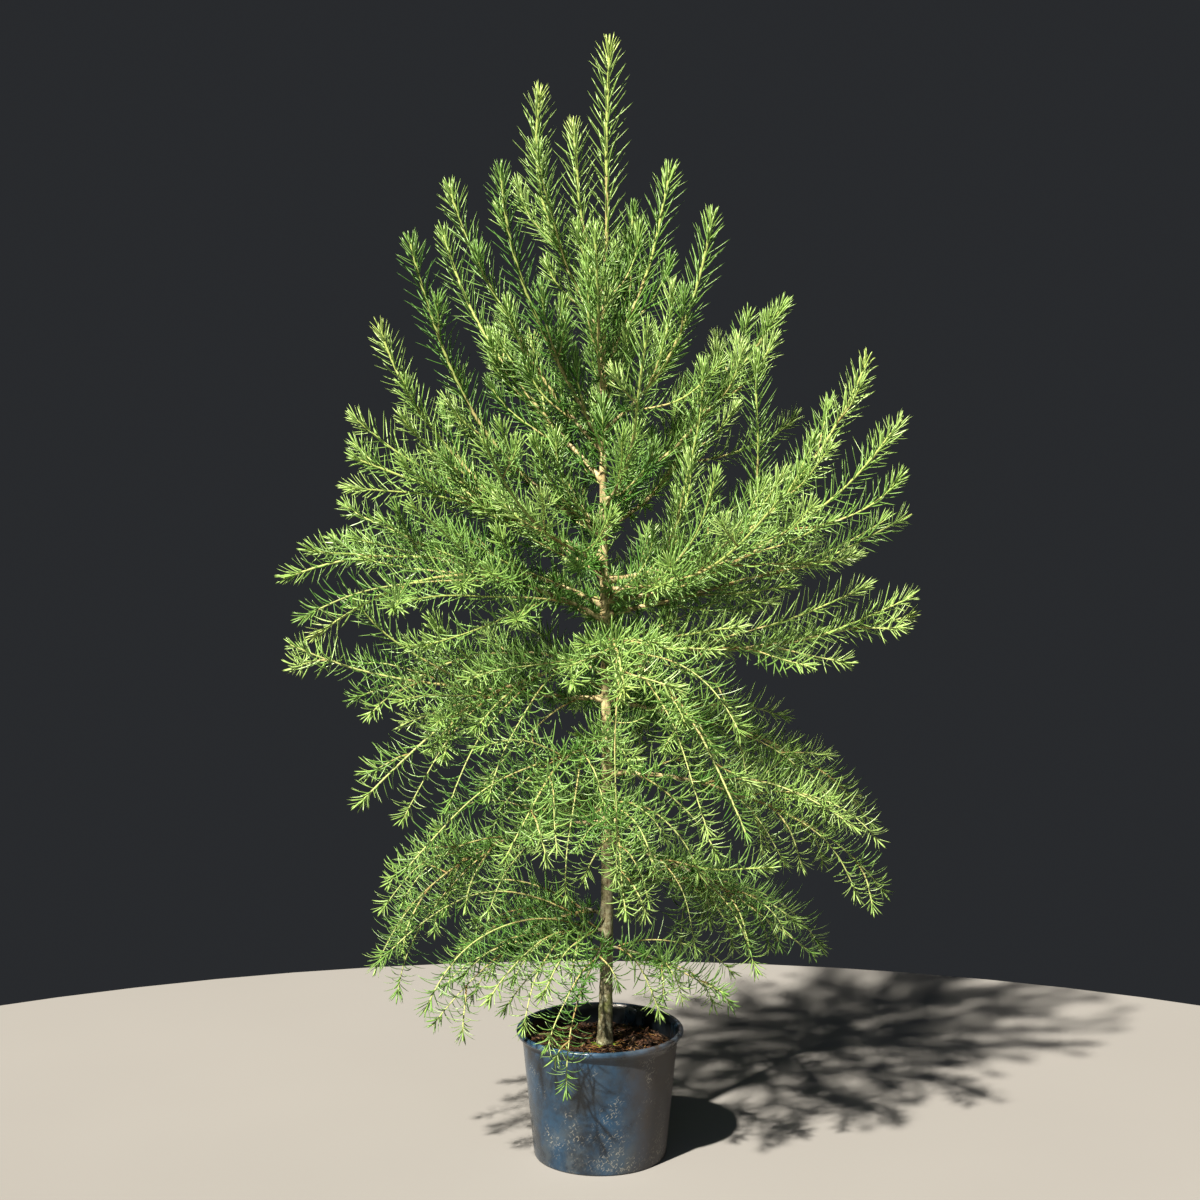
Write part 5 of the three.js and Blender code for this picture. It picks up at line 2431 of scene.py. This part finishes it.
@dataclass(frozen=True)
class Lamp:
    """A soft studio lamp: where it stands and the side of its panel, in metres, and its watts."""

    name: str
    place: tuple[float, float, float]
    size: float
    power: float
    tint: str


@dataclass
class Studio:
    """The pale floor, the soft light and the camera at the photograph's angle, in metres and degrees."""

    view: PhotoCamera = PhotoCamera()
    aim: tuple[float, float, float] = (0.0, 0.0, 1.0)
    floor_radius: float = 2.7
    floor_forward: float = 1.5
    floor_spread: float = 2.2
    floor_sides: int = 96
    floor_rings: int = 24
    key_from: tuple[float, float, float] = (-0.37, -0.52, 0.78)
    key_strength: float = 12.0
    key_softness: float = 1.8
    key_tint: str = "fff4e2"
    air: str = "8f949c"
    air_strength: float = 0.08
    lamps: tuple[Lamp, ...] = (
        Lamp("fill", place=(3.6, -3.4, 2.2), size=2.4, power=9.0, tint="eef3ff"),
        Lamp("sky", place=(-0.4, -3.4, 4.6), size=4.0, power=18.0, tint="d6e4ff"),
    )

    def build(self) -> None:
        """Builds the floor, the lamps, the air and the camera."""
        self.build_floor()
        self.build_key()
        for lamp in self.lamps:
            self.build_lamp(lamp)
        world = bpy.data.worlds.new("studio_air")
        world.use_nodes = True
        background = world.node_tree.nodes["Background"]
        background.inputs["Color"].default_value = srgb(self.air)
        background.inputs["Strength"].default_value = self.air_strength
        bpy.context.scene.world = world
        bpy.context.scene.view_settings.view_transform = "Standard"
        self.build_camera()

    def build_floor(self) -> None:
        """Builds the floor as rings that grow outwards."""
        shares = np.arange(1, self.floor_rings + 1) / self.floor_rings
        radii = self.floor_radius / MM * shares**self.floor_spread
        x, y = circles(radii, self.floor_sides)
        y = y - self.floor_forward / MM * radii[:, None] / radii[-1]
        sketch = Sketch()
        sketch.add_tube(np.stack([x, y, np.zeros_like(x)], -1)[::-1], np.zeros((1, 3)))
        floor = sketch.build("floor", [StudioFloor()])
        floor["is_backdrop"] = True
        LOG.info("floor: %.1f m across", 2 * self.floor_radius)

    def build_key(self) -> None:
        """Builds the key light, which comes from the upper left in front."""
        light = bpy.data.lights.new("key", "SUN")
        light.energy = self.key_strength
        light.angle = math.radians(self.key_softness)
        light.color = srgb(self.key_tint)[:3]
        holder = put("key", light)
        holder.rotation_euler = (-Vector(self.key_from)).to_track_quat("-Z", "Y").to_euler()

    def build_lamp(self, lamp: Lamp) -> None:
        """Builds a lamp and turns it to the plant.

        Args:
            lamp: The lamp.
        """
        light = bpy.data.lights.new(lamp.name, "AREA")
        light.shape = "DISK"
        light.size = lamp.size
        light.energy = lamp.power
        light.color = srgb(lamp.tint)[:3]
        holder = put(lamp.name, light)
        holder.location = lamp.place
        towards = Vector(self.aim) - Vector(lamp.place)
        holder.rotation_euler = towards.to_track_quat("-Z", "Y").to_euler()

    def build_camera(self) -> None:
        """Builds the camera where the photograph was taken from."""
        data = bpy.data.cameras.new("photo_camera")
        data.lens = self.view.lens
        data.sensor_width = self.view.sensor
        camera = put("photo_camera", data)
        camera.location = (0.0, -self.view.distance * MM, self.view.height * MM)
        camera.rotation_euler = (math.radians(90.0 - self.view.pitch), 0.0, 0.0)
        bpy.context.scene.camera = camera


def box_in_mm(node: str) -> tuple[Array, Array]:
    """Returns the lowest and highest corner of a CAD node in millimetres."""
    low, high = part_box(node)
    return np.array(low) / MM, np.array(high) / MM


def main() -> None:
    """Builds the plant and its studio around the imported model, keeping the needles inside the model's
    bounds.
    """
    logging.basicConfig(level=logging.INFO, format="%(name)s: %(message)s")
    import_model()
    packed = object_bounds()
    pot_high = box_in_mm("pot")[1]
    compost_high = box_in_mm("compost")[1]
    trunk_low, trunk_high = box_in_mm("trunk")
    trunk = TrunkLine(foot=float(trunk_low[2]), top=float(trunk_high[2]))
    pot = Pot(height=float(pot_high[2]), rim_radius=float(pot_high[0]))
    pot.build()
    Compost(crown=float(compost_high[2]), pot=pot, trunk=trunk).build()
    crown = Crown(trunk, pot.height, pot.rim_radius)
    boughs = crown.grow()
    Wood(trunk, boughs).build()
    low_corner, high_corner = (np.array(corner) / MM for corner in packed)
    Foliage(crown, boughs, low_corner, high_corner).build()
    Studio().build()
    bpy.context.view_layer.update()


if __name__ == "__main__":
    main()
